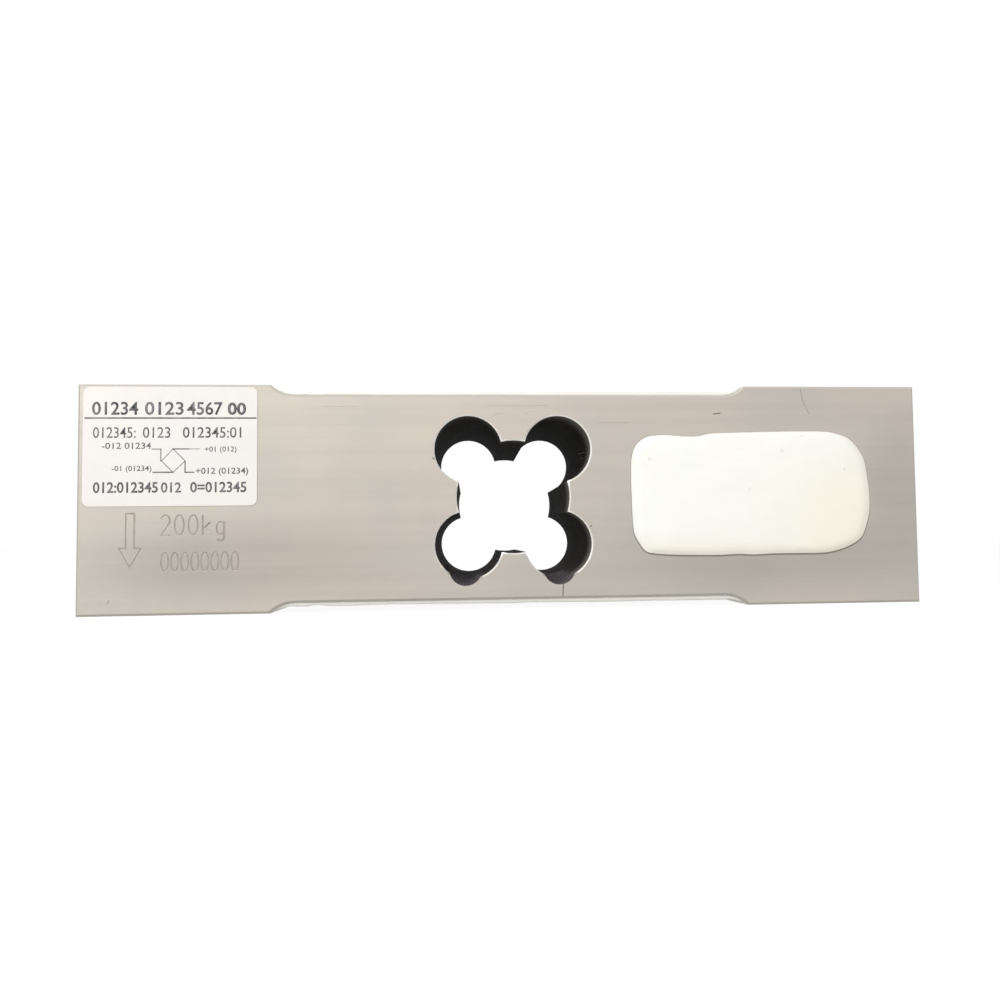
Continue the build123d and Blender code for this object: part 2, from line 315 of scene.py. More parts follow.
@dataclass
class Shader:
    """One material in the making: its graph, its Principled shader and its coordinates in mm."""

    name: str
    effects: Effects

    def __post_init__(self) -> None:
        """Create the material with an empty Principled shader."""
        self.material = bpy.data.materials.new(self.name)
        self.material.use_nodes = True
        self.graph = Graph(self.material.node_tree)
        self.shader = self.graph.add("ShaderNodeBsdfPrincipled")
        self.graph.add("ShaderNodeOutputMaterial", {"Surface": self.shader.outputs["BSDF"]})
        place = self.graph.add("ShaderNodeTexCoord")
        self.place = self.graph.vector("MULTIPLY", place.outputs["Object"], (1.0 / MM,) * 3)
        self.normal = place.outputs["Normal"]

    def axes(self, vector: Any) -> tuple[bpy.types.NodeSocket, ...]:
        """Split a vector into its three parts."""
        return tuple(self.graph.add("ShaderNodeSeparateXYZ", {0: vector}).outputs)

    def effect(self, group: bpy.types.NodeTree, output: str, **inputs: Any) -> bpy.types.NodeSocket:
        """Place a shared group with its own values.

        Args:
            group: the shared group.
            output: the output to return.
            **inputs: sockets or values for its other inputs than Vector.

        Returns:
            The named output's socket.
        """
        inputs["Vector"] = self.place
        return self.graph.add("ShaderNodeGroup", inputs, node_tree=group).outputs[output]

    def bump(self, height: Any, depth_mm: float, below: Any = None) -> bpy.types.NodeSocket:
        """Turn a relief into a normal.

        Args:
            height: the relief, from 0 to 1.
            depth_mm: how deep it is.
            below: the normal of a coarser relief under it.

        Returns:
            The bumped normal.
        """
        inputs = {"Height": height, "Distance": depth_mm * MM, "Strength": 1.0}
        if below is not None:
            inputs["Normal"] = below
        return self.graph.add("ShaderNodeBump", inputs).outputs["Normal"]

    def set(self, **inputs: Any) -> bpy.types.Material:
        """Feed the Principled shader.

        Args:
            **inputs: sockets or values, by input name with underscores for its spaces.

        Returns:
            The material.
        """
        for key, value in inputs.items():
            self.graph.feed(self.shader.inputs[key.replace("_", " ")], value)
        return self.material


# Finishes


@dataclass(frozen=True)
class ShadeOval:
    """A soft oval of the front face, in X and Z, where shade is painted."""

    centre: Point
    reach: Point
    amount: float


@dataclass(frozen=True)
class MilledAluminium:
    """Satin drawn aluminium, with a painted light tone on its upward chamfers and painted shade on
    its downward ones.
    """

    warm: Colour = (0.565, 0.505, 0.445)
    cool: Colour = (0.500, 0.475, 0.425)
    streak: Colour = (0.45, 0.415, 0.37)
    # Painted shade: the edge tone darkens chamfers that face down; the next tone is the upward
    # chamfers' painted light.
    edge: Colour = (0.42, 0.39, 0.34)
    lit_chamfer: Colour = (0.56, 0.52, 0.455)
    # Painted shade: the dark tone that the soft ovals mix into the lower front face and its right
    # end.
    oval_shade: Colour = (0.10, 0.095, 0.09)
    roughness: float = 0.46
    rough_swing: float = 0.06
    metallic: float = 0.75
    grain_depth: float = 0.012
    front_only: Span = (-17.0, -10.0)
    darker: tuple[ShadeOval, ...] = (
        ShadeOval((-48.0, 9.5), (36.0, 9.0), 0.18),
        ShadeOval((48.0, 9.0), (40.0, 9.0), 0.17),
        ShadeOval((73.0, 22.0), (13.0, 17.0), 0.15),
    )

    def build(self, effects: Effects) -> bpy.types.Material:
        """Make the material.

        Args:
            effects: the shader groups that the finishes share.

        Returns:
            The material.
        """
        made = Shader("milled_aluminium", effects)
        graph = made.graph
        facing = made.axes(made.normal)
        nx, ny = (graph.math("ABSOLUTE", part) for part in facing[:2])
        tilted = graph.math("GREATER_THAN", ny, 0.3), graph.math("LESS_THAN", ny, 0.96)
        broken = graph.math("MULTIPLY", *tilted)
        tint = made.effect(effects.cloud, "Color", Scale=0.035, Warm=self.warm, Cool=self.cool)
        lines = made.effect(effects.grain, "Height", Stretch=(0.035, 5.5, 5.5))
        streak = made.effect(effects.grain, "Streak", Stretch=(0.02, 3.0, 3.0))
        tint = graph.mix(graph.ramp(streak, 0.35, 0.7, 0.0, 0.22), tint, self.streak)
        # Painted shade in soft ovals on the front face.
        tint = graph.mix(self.shade_ovals(made), tint, self.oval_shade)
        # Painted light and shade on the chamfers: a lit tone where they face up, a shaded tone
        # where they face down.
        wear_and_shade = graph.mix(graph.math("GREATER_THAN", facing[2], 0.2), self.edge, self.lit_chamfer)
        tint = graph.mix(broken, tint, wear_and_shade)
        smudges = made.effect(effects.smudge, "Mask", Scale=0.12, Amount=0.10)
        least, most = self.roughness - self.rough_swing, self.roughness + self.rough_swing
        rough = graph.math("ADD", graph.ramp(lines, 0.4, 1.2, least, most), smudges)
        ends = graph.math("GREATER_THAN", nx, 0.7)
        saw = made.effect(effects.grain, "Height", Stretch=(1.0, 4.0, 0.12))
        normal = made.bump(graph.mix(ends, lines, saw), self.grain_depth)
        return made.set(Base_Color=tint, Roughness=rough, Metallic=self.metallic, Normal=normal)

    def shade_ovals(self, made: Shader) -> bpy.types.NodeSocket:
        """Add the soft ovals of painted shade together, on the front face alone.

        Args:
            made: the material in the making.

        Returns:
            How much painted shade shows.
        """
        graph = made.graph
        total: Any = 0.0
        for patch in self.darker:
            shrink = (1.0 / patch.reach[0], 0.0, 1.0 / patch.reach[1])
            centre = (patch.centre[0] * shrink[0], 0.0, patch.centre[1] * shrink[2])
            away = graph.distance(graph.vector("MULTIPLY", made.place, shrink), centre)
            total = graph.math("ADD", total, graph.ramp(away, 0.25, 1.0, patch.amount, 0.0))
        front = graph.ramp(made.axes(made.place)[1], *self.front_only, 1.0, 0.0)
        return graph.math("MULTIPLY", total, front)


@dataclass(frozen=True)
class BoredWall:
    """The clover's wall, painted near black as shade, with painted light near its front rim and on
    its right walls, and two filed notches.
    """

    # Painted shade: the wall's near-black tone; painted light: the paler tone near the front rim
    # and on the right walls.
    bore_shade: Colour = (0.0210, 0.0180, 0.0165)
    rim_light: Colour = (0.130, 0.122, 0.099)
    filed: Colour = (0.130, 0.110, 0.126)
    front: float = -17.5
    rim_light_share: float = 0.34
    rim_reach: float = 6.5
    right_reach: float = 7.0
    right_from: Span = (5.0, 11.5)
    notch_height: Span = (5.7, 6.4)
    notch_end: Span = (-1.0, 0.5)

    def build(self, effects: Effects) -> bpy.types.Material:
        """Make the material.

        Args:
            effects: the shader groups that the finishes share.

        Returns:
            The material.
        """
        made = Shader("bored_wall", effects)
        graph = made.graph
        x, y, z = made.axes(made.place)
        # Painted light: paler near the front rim and on the walls to the right, which face the
        # lamps.
        depth = graph.math("SUBTRACT", y, self.front)
        near = graph.ramp(depth, 0.0, self.right_reach, 1.0, 0.0)
        right = graph.math("MULTIPLY", near, graph.ramp(x, *self.right_from))
        lit = graph.math("ADD", right, graph.ramp(depth, 0.0, self.rim_reach, self.rim_light_share, 0.0))
        rings = made.effect(effects.grain, "Height", Stretch=(0.5, 4.0, 0.5))
        patches = made.effect(effects.smudge, "Mask", Scale=0.35, Amount=0.06)
        tint = graph.mix(graph.math("ADD", lit, patches, clamp=True), self.bore_shade, self.rim_light)
        low = graph.ramp(z, *self.notch_height, 1.0, 0.0)
        notch = graph.math("MULTIPLY", low, graph.ramp(y, *self.notch_end, 1.0, 0.0))
        burr = graph.ramp(graph.noise(made.place, 1.4, 3.0, 0.6), 0.40, 0.60, 0.35, 1.0)
        tint = graph.mix(graph.math("MULTIPLY", notch, burr), tint, self.filed)
        return made.set(
            Base_Color=tint,
            Roughness=graph.ramp(rings, 0.4, 1.2, 0.6, 0.8),
            Metallic=0.0,
            Specular_IOR_Level=0.01,
            Normal=made.bump(rings, 0.015),
        )


@dataclass(frozen=True)
class ScoredMetal:
    """The floor of an engraved or scratched line, painted darker as shade in the groove."""

    name: str = "scored_metal"
    # Painted shade: both tones darken the groove's floor.
    colour: Colour = (0.34, 0.305, 0.265)
    lighter_groove: Colour = (0.41, 0.375, 0.33)

    def build(self, effects: Effects) -> bpy.types.Material:
        """Make the material.

        Args:
            effects: the shader groups that the finishes share.

        Returns:
            The material.
        """
        made = Shader(self.name, effects)
        tint = made.effect(effects.cloud, "Color", Scale=0.8, Warm=self.colour, Cool=self.lighter_groove)
        burr = made.effect(effects.grain, "Height", Stretch=(3.0, 3.0, 3.0))
        rough = made.graph.ramp(burr, 0.3, 1.2, 0.45, 0.65)
        return made.set(Base_Color=tint, Roughness=rough, Metallic=0.7)


@dataclass(frozen=True)
class TappedThread:
    """The cut flanks of a tapped thread in aluminium."""

    bright: Colour = (0.50, 0.49, 0.46)
    darker: Colour = (0.26, 0.25, 0.23)

    def build(self, effects: Effects) -> bpy.types.Material:
        """Make the material.

        Args:
            effects: the shader groups that the finishes share.

        Returns:
            The material.
        """
        made = Shader("tapped_thread", effects)
        tint = made.effect(effects.cloud, "Color", Scale=0.7, Warm=self.bright, Cool=self.darker)
        cut = made.effect(effects.grain, "Height", Stretch=(1.5, 1.5, 6.0))
        rough = made.graph.ramp(cut, 0.3, 1.2, 0.28, 0.5)
        return made.set(Base_Color=tint, Roughness=rough, Metallic=0.9)


@dataclass(frozen=True)
class Silicone:
    """Cured silicone: an even colour with soft tool marks and a few bubbles."""

    name: str
    warm: Colour
    cool: Colour
    roughness: float = 0.42
    mark_depth: float = 0.05
    pit_depth: float = 0.05
    pit_shade: float = 0.6
    pit_amount: float = 0.30

    def bubbles(self, made: Shader) -> bpy.types.NodeSocket:
        """Where a bubble left a pit."""
        return made.effect(made.effects.specks, "Mask", Scale=0.35, Rarity=0.94)

    def tint_and_shade(self, made: Shader, tint: bpy.types.NodeSocket) -> bpy.types.NodeSocket:
        """The colour with whatever shows through or sticks to this silicone, and any painted
        shadow.
        """
        return tint

    def build(self, effects: Effects) -> bpy.types.Material:
        """Make the material.

        Args:
            effects: the shader groups that the finishes share.

        Returns:
            The material.
        """
        made = Shader(self.name, effects)
        graph = made.graph
        tint = made.effect(effects.cloud, "Color", Scale=0.06, Warm=self.warm, Cool=self.cool)
        tint = self.tint_and_shade(made, tint)
        pits = self.bubbles(made)
        shaded = tuple(self.pit_shade * part for part in self.warm)
        tint = graph.mix(graph.math("MULTIPLY", pits, self.pit_amount), tint, shaded)
        marks = graph.noise(graph.vector("MULTIPLY", made.place, (0.16, 0.3, 0.55)), 1.0, 3.0, 0.55)
        smudges = made.effect(effects.smudge, "Mask", Scale=0.25, Amount=0.12)
        normal = made.bump(marks, self.mark_depth)
        normal = made.bump(graph.math("SUBTRACT", 1.0, pits), self.pit_depth, normal)
        return made.set(
            Base_Color=tint,
            Roughness=graph.math("ADD", smudges, self.roughness),
            Normal=normal,
            Subsurface_Weight=0.15,
            Subsurface_Scale=0.002,
            Subsurface_Radius=(1.0, 0.9, 0.7),
            IOR=1.41,
        )


@dataclass(frozen=True)
class CoatSilicone(Silicone):
    """Thin brushed silicone, through which the gauges show faintly."""

    amber: Colour = (0.42, 0.27, 0.12)
    gauges_show: float = 0.13
    gauge_x: float = 8.0
    fade_x: Span = (2.6, 5.6)
    fade_y: Span = (1.8, 4.6)

    def tint_and_shade(self, made: Shader, tint: bpy.types.NodeSocket) -> bpy.types.NodeSocket:
        """Let the gauges and their terminals show.

        Args:
            made: the material in the making.
            tint: the silicone's own colour.

        Returns:
            The colour with what is under it.
        """
        graph = made.graph
        x, y, _ = made.axes(made.place)
        beside = graph.math("SUBTRACT", graph.math("ABSOLUTE", x), self.gauge_x)
        along = graph.ramp(graph.math("ABSOLUTE", beside), *self.fade_x, 1.0, 0.0)
        across = graph.ramp(graph.math("ABSOLUTE", y), *self.fade_y, 1.0, 0.0)
        patch = graph.math("MULTIPLY", along, across)
        return graph.mix(graph.math("MULTIPLY", patch, self.gauges_show), tint, self.amber)


@dataclass(frozen=True)
class PottingSilicone(Silicone):
    """Thick poured silicone, warmer towards its lower right, with a painted shadow along its foot.
    """

    warmer: Colour = (0.955, 0.90, 0.755)
    # Painted shadow: the dark tone of the foot under the lip.
    foot_shadow: Colour = (0.25, 0.225, 0.185)
    corner: Place = (67.0, 0.0, 9.0)
    corner_reach: Span = (3.0, 30.0)
    lower_reach: Span = (9.3, 14.0)
    lower_share: float = 0.75
    foot: float = -17.56
    dent_floor: float = 0.3
    dents: tuple[Place, ...] = (
        (49.1, 27.9, 0.5), (60.8, 24.4, 0.4), (53.0, 30.6, 0.35), (24.6, 26.4, 0.5),
    )

    def bubbles(self, made: Shader) -> bpy.types.NodeSocket:
        """Add the dents, each an x, a z and a radius, to the bubbles.

        Args:
            made: the material in the making.

        Returns:
            Where a bubble or a knock left a pit.
        """
        graph = made.graph
        pits = super().bubbles(made)
        flat = graph.vector("MULTIPLY", made.place, (1.0, 0.0, 1.0))
        for x, z, radius in self.dents:
            away = graph.distance(flat, (x, 0.0, z))
            dent = graph.ramp(away, self.dent_floor * radius, radius, 1.0, 0.0)
            pits = graph.math("MAXIMUM", pits, dent)
        return pits

    def tint_and_shade(self, made: Shader, tint: bpy.types.NodeSocket) -> bpy.types.NodeSocket:
        """Warm the silicone towards its lower right and paint a shadow along the line where it
        meets the face.

        Args:
            made: the material in the making.
            tint: the silicone's own colour.

        Returns:
            The warmer colour with the painted shadow.
        """
        graph = made.graph
        _, y, z = made.axes(made.place)
        flat = graph.vector("MULTIPLY", made.place, (1.0, 0.0, 1.0))
        # Warmer towards the lower right corner and along the lower edge.
        warming = graph.ramp(graph.distance(flat, self.corner), *self.corner_reach, 1.0, 0.0)
        low = graph.ramp(z, *self.lower_reach, self.lower_share, 0.0)
        warming = graph.math("MAXIMUM", warming, low)
        tint = graph.mix(warming, tint, self.warmer)
        # Painted shadow along the foot, next to the face.
        return graph.mix(graph.math("GREATER_THAN", y, self.foot), tint, self.foot_shadow)


@dataclass(frozen=True)
class LabelFilm:
    """White polyester film, slightly yellowed and handled."""

    warm: Colour = (0.81, 0.78, 0.735)
    cool: Colour = (0.80, 0.775, 0.75)
    dirty: Colour = (0.50, 0.45, 0.38)

    def build(self, effects: Effects) -> bpy.types.Material:
        """Make the material.

        Args:
            effects: the shader groups that the finishes share.

        Returns:
            The material.
        """
        made = Shader("label_film", effects)
        graph = made.graph
        tint = made.effect(effects.cloud, "Color", Scale=0.08, Warm=self.warm, Cool=self.cool)
        dirt = made.effect(effects.smudge, "Mask", Scale=0.3, Amount=0.07)
        dust = made.effect(effects.specks, "Mask", Scale=0.6, Rarity=0.9)
        soiled = graph.math("ADD", dirt, graph.math("MULTIPLY", dust, 0.2))
        weave = graph.noise(made.place, 2.5, 2.0, 0.5)
        return made.set(
            Base_Color=graph.mix(soiled, tint, self.dirty),
            Roughness=graph.math("ADD", dirt, 0.38),
            Normal=made.bump(weave, 0.006),
            Coat_Weight=0.12,
            Coat_Roughness=0.3,
        )


@dataclass(frozen=True)
class LabelInk:
    """Dark grey thermal print, a little uneven."""

    dark: Colour = (0.06, 0.06, 0.065)
    wear_and_shade: Colour = (0.19, 0.19, 0.195)

    def build(self, effects: Effects) -> bpy.types.Material:
        """Make the material.

        Args:
            effects: the shader groups that the finishes share.

        Returns:
            The material.
        """
        made = Shader("label_ink", effects)
        tint = made.effect(effects.cloud, "Color", Scale=0.5, Warm=self.dark, Cool=self.wear_and_shade)
        rough = made.effect(effects.smudge, "Mask", Scale=1.5, Amount=0.2)
        return made.set(Base_Color=tint, Roughness=made.graph.math("ADD", rough, 0.45))


@dataclass(frozen=True)
class Rubber:
    """Black moulded rubber with a fine matt texture."""

    dark: Colour = (0.012, 0.012, 0.012)
    dusty: Colour = (0.045, 0.043, 0.040)

    def build(self, effects: Effects) -> bpy.types.Material:
        """Make the material.

        Args:
            effects: the shader groups that the finishes share.

        Returns:
            The material.
        """
        made = Shader("seal_rubber", effects)
        tint = made.effect(effects.cloud, "Color", Scale=0.3, Warm=self.dark, Cool=self.dusty)
        skin = made.graph.noise(made.place, 6.0, 4.0, 0.6)
        rough = made.graph.ramp(skin, 0.3, 0.7, 0.5, 0.75)
        return made.set(Base_Color=tint, Roughness=rough, Normal=made.bump(skin, 0.02))


@dataclass(frozen=True)
class SmallPart:
    """A small moulded, plated or laminated piece: a base with a second finish beyond a limit.

    The second finish starts where the distance from a plane passes the limit, such as the foil
    on a gauge's carrier or the tinned ends of a chip.
    """

    name: str
    base: Colour
    drift: Colour
    roughness: float = 0.4
    metallic: float = 0.0
    texture: float = 3.0
    rough_swing: float = 0.08
    second: Colour | None = None
    axis: int = 2
    centre: float = 0.0
    limit: float = 1.0

    def build(self, effects: Effects) -> bpy.types.Material:
        """Make the material.

        Args:
            effects: the shader groups that the finishes share.

        Returns:
            The material.
        """
        made = Shader(self.name, effects)
        graph = made.graph
        tint = made.effect(effects.cloud, "Color", Scale=0.4, Warm=self.base, Cool=self.drift)
        skin = graph.noise(made.place, self.texture, 3.0, 0.6)
        least, most = self.roughness - self.rough_swing, self.roughness + self.rough_swing
        metal: Any = self.metallic
        if self.second is not None:
            away = graph.math("SUBTRACT", made.axes(made.place)[self.axis], self.centre)
            metal = graph.math("GREATER_THAN", graph.math("ABSOLUTE", away), self.limit)
            tint = graph.mix(metal, tint, self.second)
        return made.set(
            Base_Color=tint,
            Roughness=graph.ramp(skin, 0.3, 0.7, least, most),
            Metallic=metal,
            Normal=made.bump(skin, 0.008),
        )


# Mesh helpers


def link(name: str, data: bpy.types.ID) -> bpy.types.Object:
    """Put a mesh, curve, lamp or camera into the scene, at the origin."""
    linked = bpy.data.objects.new(name, data)
    bpy.context.scene.collection.objects.link(linked)
    return linked


def new_piece(
    name: str, mesh: bpy.types.Mesh, materials: Sequence[bpy.types.Material]
) -> bpy.types.Object:
    """Link a mesh that is already in place, in metres, and ride it on the body.

    Args:
        name: the piece's name.
        mesh: its mesh.
        materials: its finishes, in slot order; none are added if the mesh has its own.

    Returns:
        The object.
    """
    if materials:
        mesh.materials.clear()
    for material in materials:
        mesh.materials.append(material)
    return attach(link(name, mesh), BODY)


def mesh_from(
    name: str, points: Iterable[Sequence[float]], faces: Iterable[Sequence[int]]
) -> bpy.types.Mesh:
    """Make a smooth-shaded mesh with its normals facing out.

    Args:
        name: the mesh's name.
        points: its points in millimetres; doubles are merged.
        faces: its faces, by the points' numbers.

    Returns:
        The mesh, in metres.
    """
    mesh = bpy.data.meshes.new(name)
    mesh.from_pydata([Vector(p) * MM for p in points], [], list(faces))
    work = bmesh.new()
    work.from_mesh(mesh)
    bmesh.ops.remove_doubles(work, verts=work.verts, dist=1e-7)
    bmesh.ops.recalc_face_normals(work, faces=work.faces)
    work.to_mesh(mesh)
    work.free()
    mesh.shade_smooth()
    return mesh


def evaluated_mesh(source: bpy.types.Object) -> bpy.types.Mesh:
    """Bake an object's modifiers or curve into a plain mesh.

    Args:
        source: the object, which is kept as it is.

    Returns:
        The new mesh, in the frame's coordinates.
    """
    graph = bpy.context.evaluated_depsgraph_get()
    graph.update()
    mesh = bpy.data.meshes.new_from_object(source.evaluated_get(graph))
    mesh.transform(source.matrix_world)
    return mesh


def stroke_tube(name: str, strokes: Sequence[Sequence[Place]], radius: float) -> bpy.types.Object:
    """A set of thin round tubes along strokes.

    Args:
        name: the temporary object's name.
        strokes: runs of (x, y, z) points.
        radius: the tube's radius.

    Returns:
        A curve object, not yet a piece.
    """
    curve = bpy.data.curves.new(name, "CURVE")
    curve.dimensions = "3D"
    curve.bevel_depth = radius * MM
    curve.bevel_resolution = 1
    curve.use_fill_caps = True
    for stroke in strokes:
        spline = curve.splines.new("POLY")
        spline.points.add(len(stroke) - 1)
        for knot, at in zip(spline.points, stroke):
            knot.co = (*(part * MM for part in at), 1.0)
    return link(name, curve)


def drop(*pieces: bpy.types.Object) -> None:
    """Remove temporary objects."""
    for piece in pieces:
        bpy.data.objects.remove(piece)


# Beam


def arc(centre: Point, radii: Point, start: float, end: float, steps: int) -> list[Point]:
    """Points along an ellipse's arc.

    Args:
        centre: the ellipse's middle.
        radii: its half width and half height.
        start: the first point's angle in degrees.
        end: the last point's angle in degrees.
        steps: how many steps lie between them.

    Returns:
        The points, one more than the steps.
    """
    angles = (math.radians(start + (end - start) * i / steps) for i in range(steps + 1))
    (x, z), (wide, high) = centre, radii
    return [(x + wide * math.cos(a), z + high * math.sin(a)) for a in angles]


# Single-stroke figures in a box 1 wide and 1 high, as an engraving machine draws them
FIGURES: dict[str, list[list[Point]]] = {
    "0": [arc((0.5, 0.5), (0.5, 0.5), 90, 450, 16)],
    "2": [arc((0.5, 0.72), (0.48, 0.28), 165, -35, 9) + [(0.0, 0.0), (1.0, 0.0)]],
    "k": [[(0.04, 1.0), (0.04, 0.0)], [(0.84, 0.64), (0.04, 0.27)], [(0.32, 0.40), (0.92, 0.0)]],
    "g": [
        arc((0.45, 0.33), (0.41, 0.32), 20, 380, 14),
        [(0.88, 0.66), (0.88, -0.12)] + arc((0.47, -0.12), (0.41, 0.18), 0, -150, 7)[1:],
    ],
}


@dataclass(frozen=True)
class EngravedLine:
    """A line of single-stroke figures cut into the front face, spaced by its step."""

    text: str
    left: float
    base: float
    height: float
    step: float
    width: float

    def strokes(self) -> list[list[Point]]:
        """The strokes of every figure, in millimetres on the face."""
        placed = []
        for index, sign in enumerate(self.text):
            left = self.left + index * self.step
            for stroke in FIGURES[sign]:
                placed.append(
                    [(left + x * self.width, self.base + z * self.height) for x, z in stroke]
                )
        return placed


@dataclass(frozen=True)
class Mark:
    """Lines of one kind, each cut by a thin round tube."""

    name: str
    finish: str
    radius: float
    strokes: list[list[Place]]


@dataclass
class Beam:
    """The machined beam, with its load arrow, rating, scratches and tapped threads."""

    front: float = -17.5
    cut_radius: float = 0.28
    score_radius: float = 0.10
    scratch_radius: float = 0.048
    hairline_radius: float = 0.04
    lobe_score_radius: float = 0.06
    cut_depth: float = 0.09
    arrow_x: float = -66.0
    arrow_top: float = 17.55
    arrow_neck: float = 11.6
    arrow_tip: float = 8.3
    arrow_shaft: float = 1.41
    arrow_head: float = 3.65
    thread_major: float = 4.0
    thread_pitch: float = 1.25
    thread_start: float = 1.45
    thread_length: float = 13.9
    thread_runout: float = 0.09
    thread_ridge: float = 0.52
    thread_clear: float = 0.04
    thread_steps: int = 36
    thread_corners: int = 3
    hole_margin: float = 0.2
    hole_spacing: float = 15.0
    pad_middle: float = 58.75
    height: float = 40.0
    clover_half: float = 16.0
    lobe_x: float = 8.0
    lobe_z: float = 28.5
    lobe_radius: float = 6.0
    flat_facing: float = 0.9995
    bore_facing: float = 0.35
    crease: float = 24.0
    flat_angle: float = 0.05
    rating: EngravedLine = EngravedLine("200kg", -60.9, 13.75, 3.45, 2.33, 1.55)
    serial: EngravedLine = EngravedLine("00000000", -60.8, 7.55, 3.2, 1.68, 1.25)
    scores: tuple[tuple[Point, ...], ...] = (
        ((8.72, 4.3), (8.66, 2.8), (8.63, 1.62)),
        ((36.68, 34.84), (37.3, 34.88), (38.09, 35.02)),
        ((-14.35, 27.0), (-13.8, 26.65)),
        ((13.75, 14.45), (14.05, 14.75)),
    )
    scratches: tuple[tuple[Point, ...], ...] = (
        ((53.2, 39.6), (53.52, 37.7), (54.1, 36.2), (54.73, 34.94)),
        ((-69.67, 2.1), (-69.35, 2.8)),
    )
    hairlines: tuple[tuple[Point, ...], ...] = (
        ((-4.6, 36.3), (0.6, 36.28), (6.1, 36.33)),
        ((2.4, 35.7), (7.6, 35.66)),
        ((-3.2, 34.9), (-0.4, 34.92), (2.6, 34.88)),
        ((15.5, 33.2), (21.0, 33.23)),
        ((-33.0, 36.1), (-27.5, 36.06)),
    )
    lobe_scores: tuple[tuple[Point, ...], ...] = (
        ((1.0, -11.5), (7.0, -2.5)),
        ((-6.0, -8.5), (-4.0, -5.0)),
    )

    def arrow(self) -> list[list[Point]]:
        """The outline of the arrow that shows the load's direction."""
        shaft, head = self.arrow_shaft / 2, self.arrow_head / 2
        shoulder = [(shaft, self.arrow_top), (shaft, self.arrow_neck), (head, self.arrow_neck)]
        right = shoulder + [(0.0, self.arrow_tip)]
        outline = right + [(-x, z) for x, z in reversed(right[:-1])] + [right[0]]
        return [[(self.arrow_x + x, z) for x, z in outline]]

    def on_face(self, strokes: Sequence[Sequence[Point]], radius: float) -> list[list[Place]]:
        """Strokes on the front face, at the depth where their tube cuts a groove."""
        depth = self.front - radius + min(radius, self.cut_depth)
        return [[(x, depth, z) for x, z in stroke] for stroke in strokes]

    def in_lobe(self, strokes: Sequence[Sequence[Point]]) -> list[list[Place]]:
        """Lay strokes on the upper right lobe's wall.

        Args:
            strokes: runs of pairs of an angle in degrees and a depth.

        Returns:
            Their places on the wall.
        """
        placed: list[list[Place]] = []
        for stroke in strokes:
            placed.append([])
            for angle, y in stroke:
                turn = math.radians(angle)
                x = self.lobe_x + self.lobe_radius * math.cos(turn)
                placed[-1].append((x, y, self.lobe_z + self.lobe_radius * math.sin(turn)))
        return placed

    def marks(self) -> list[Mark]:
        """Every kind of cut line, in the order in which they are cut."""
        written = self.arrow() + self.rating.strokes() + self.serial.strokes()
        on_face = (
            ("engraving", "cut", self.cut_radius, written),
            ("scores", "scribed", self.score_radius, self.scores),
            ("scratches", "cut", self.scratch_radius, self.scratches),
            ("hairlines", "face", self.hairline_radius, self.hairlines),
        )
        marks = [Mark(name, key, r, self.on_face(runs, r)) for name, key, r, runs in on_face]
        in_lobe = self.in_lobe(self.lobe_scores)
        return marks + [Mark("lobe_scores", "scribed", self.lobe_score_radius, in_lobe)]

    def in_tapped_hole(self, at: Vector) -> bool:
        """Whether a place is inside one of the four tapped holes."""
        along = abs(abs(at.x) - self.pad_middle) - self.hole_spacing / 2
        return math.hypot(along, at.y) < self.thread_major + self.hole_margin

    def blank(self, finish: bpy.types.Material) -> bpy.types.Object:
        """Copy the beam's solid as a merged mesh with whole faces.

        Args:
            finish: the finish of its faces.

        Returns:
            The beam before its lines are cut.
        """
        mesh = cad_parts["beam"].data.copy()
        work = bmesh.new()
        work.from_mesh(mesh)
        bmesh.ops.remove_doubles(work, verts=work.verts, dist=1e-6)
        flat = math.radians(self.flat_angle)
        bmesh.ops.dissolve_limit(work, angle_limit=flat, verts=work.verts, edges=work.edges)
        work.to_mesh(mesh)
        work.free()
        mesh.materials.clear()
        mesh.materials.append(finish)
        return link("beam_blank", mesh)

    def cut(self, blank: bpy.types.Object, mark: Mark, finish: bpy.types.Material) -> None:
        """Cut one kind of lines.

        Args:
            blank: the beam so far, whose mesh is replaced.
            mark: the lines.
            finish: the finish of their floors.
        """
        tube = stroke_tube(mark.name, mark.strokes, mark.radius)
        cutter = link(mark.name + "_cutter", evaluated_mesh(tube))
        cutter.data.materials.clear()
        cutter.data.materials.append(finish)
        groove = blank.modifiers.new(mark.name, "BOOLEAN")
        groove.operation, groove.solver, groove.object = "DIFFERENCE", "EXACT", cutter
        groove.use_self = True
        groove.material_mode = "TRANSFER"
        done = evaluated_mesh(blank)
        blank.modifiers.clear()
        blank.data = done
        drop(tube, cutter)

    def shade(self, mesh: bpy.types.Mesh) -> None:
        """Smooth what is round, and give the clover's walls and rims the last two finishes: the
        walls' painted shade and light, and the rims' painted highlight.

        Args:
            mesh: the beam's mesh, whose last two slots are the walls' and the rims'.
        """
        mesh.shade_smooth()
        mesh.set_sharp_from_angle(angle=math.radians(self.crease))
        wall, rim = len(mesh.materials) - 2, len(mesh.materials) - 1
        for face in mesh.polygons:
            at = face.center / MM
            lean = abs(face.normal.y)
            inside = max(abs(at.x), abs(at.z - self.height / 2)) < self.clover_half
            bored = inside and lean < self.bore_facing
            tapped = self.in_tapped_hole(at) and abs(face.normal.z) < 0.5
            tilted = max(abs(part) for part in face.normal) < self.flat_facing
            face.use_smooth = bored or tapped or tilted
            if face.material_index == 0 and inside and lean < self.flat_facing:
                face.material_index = wall if bored else rim

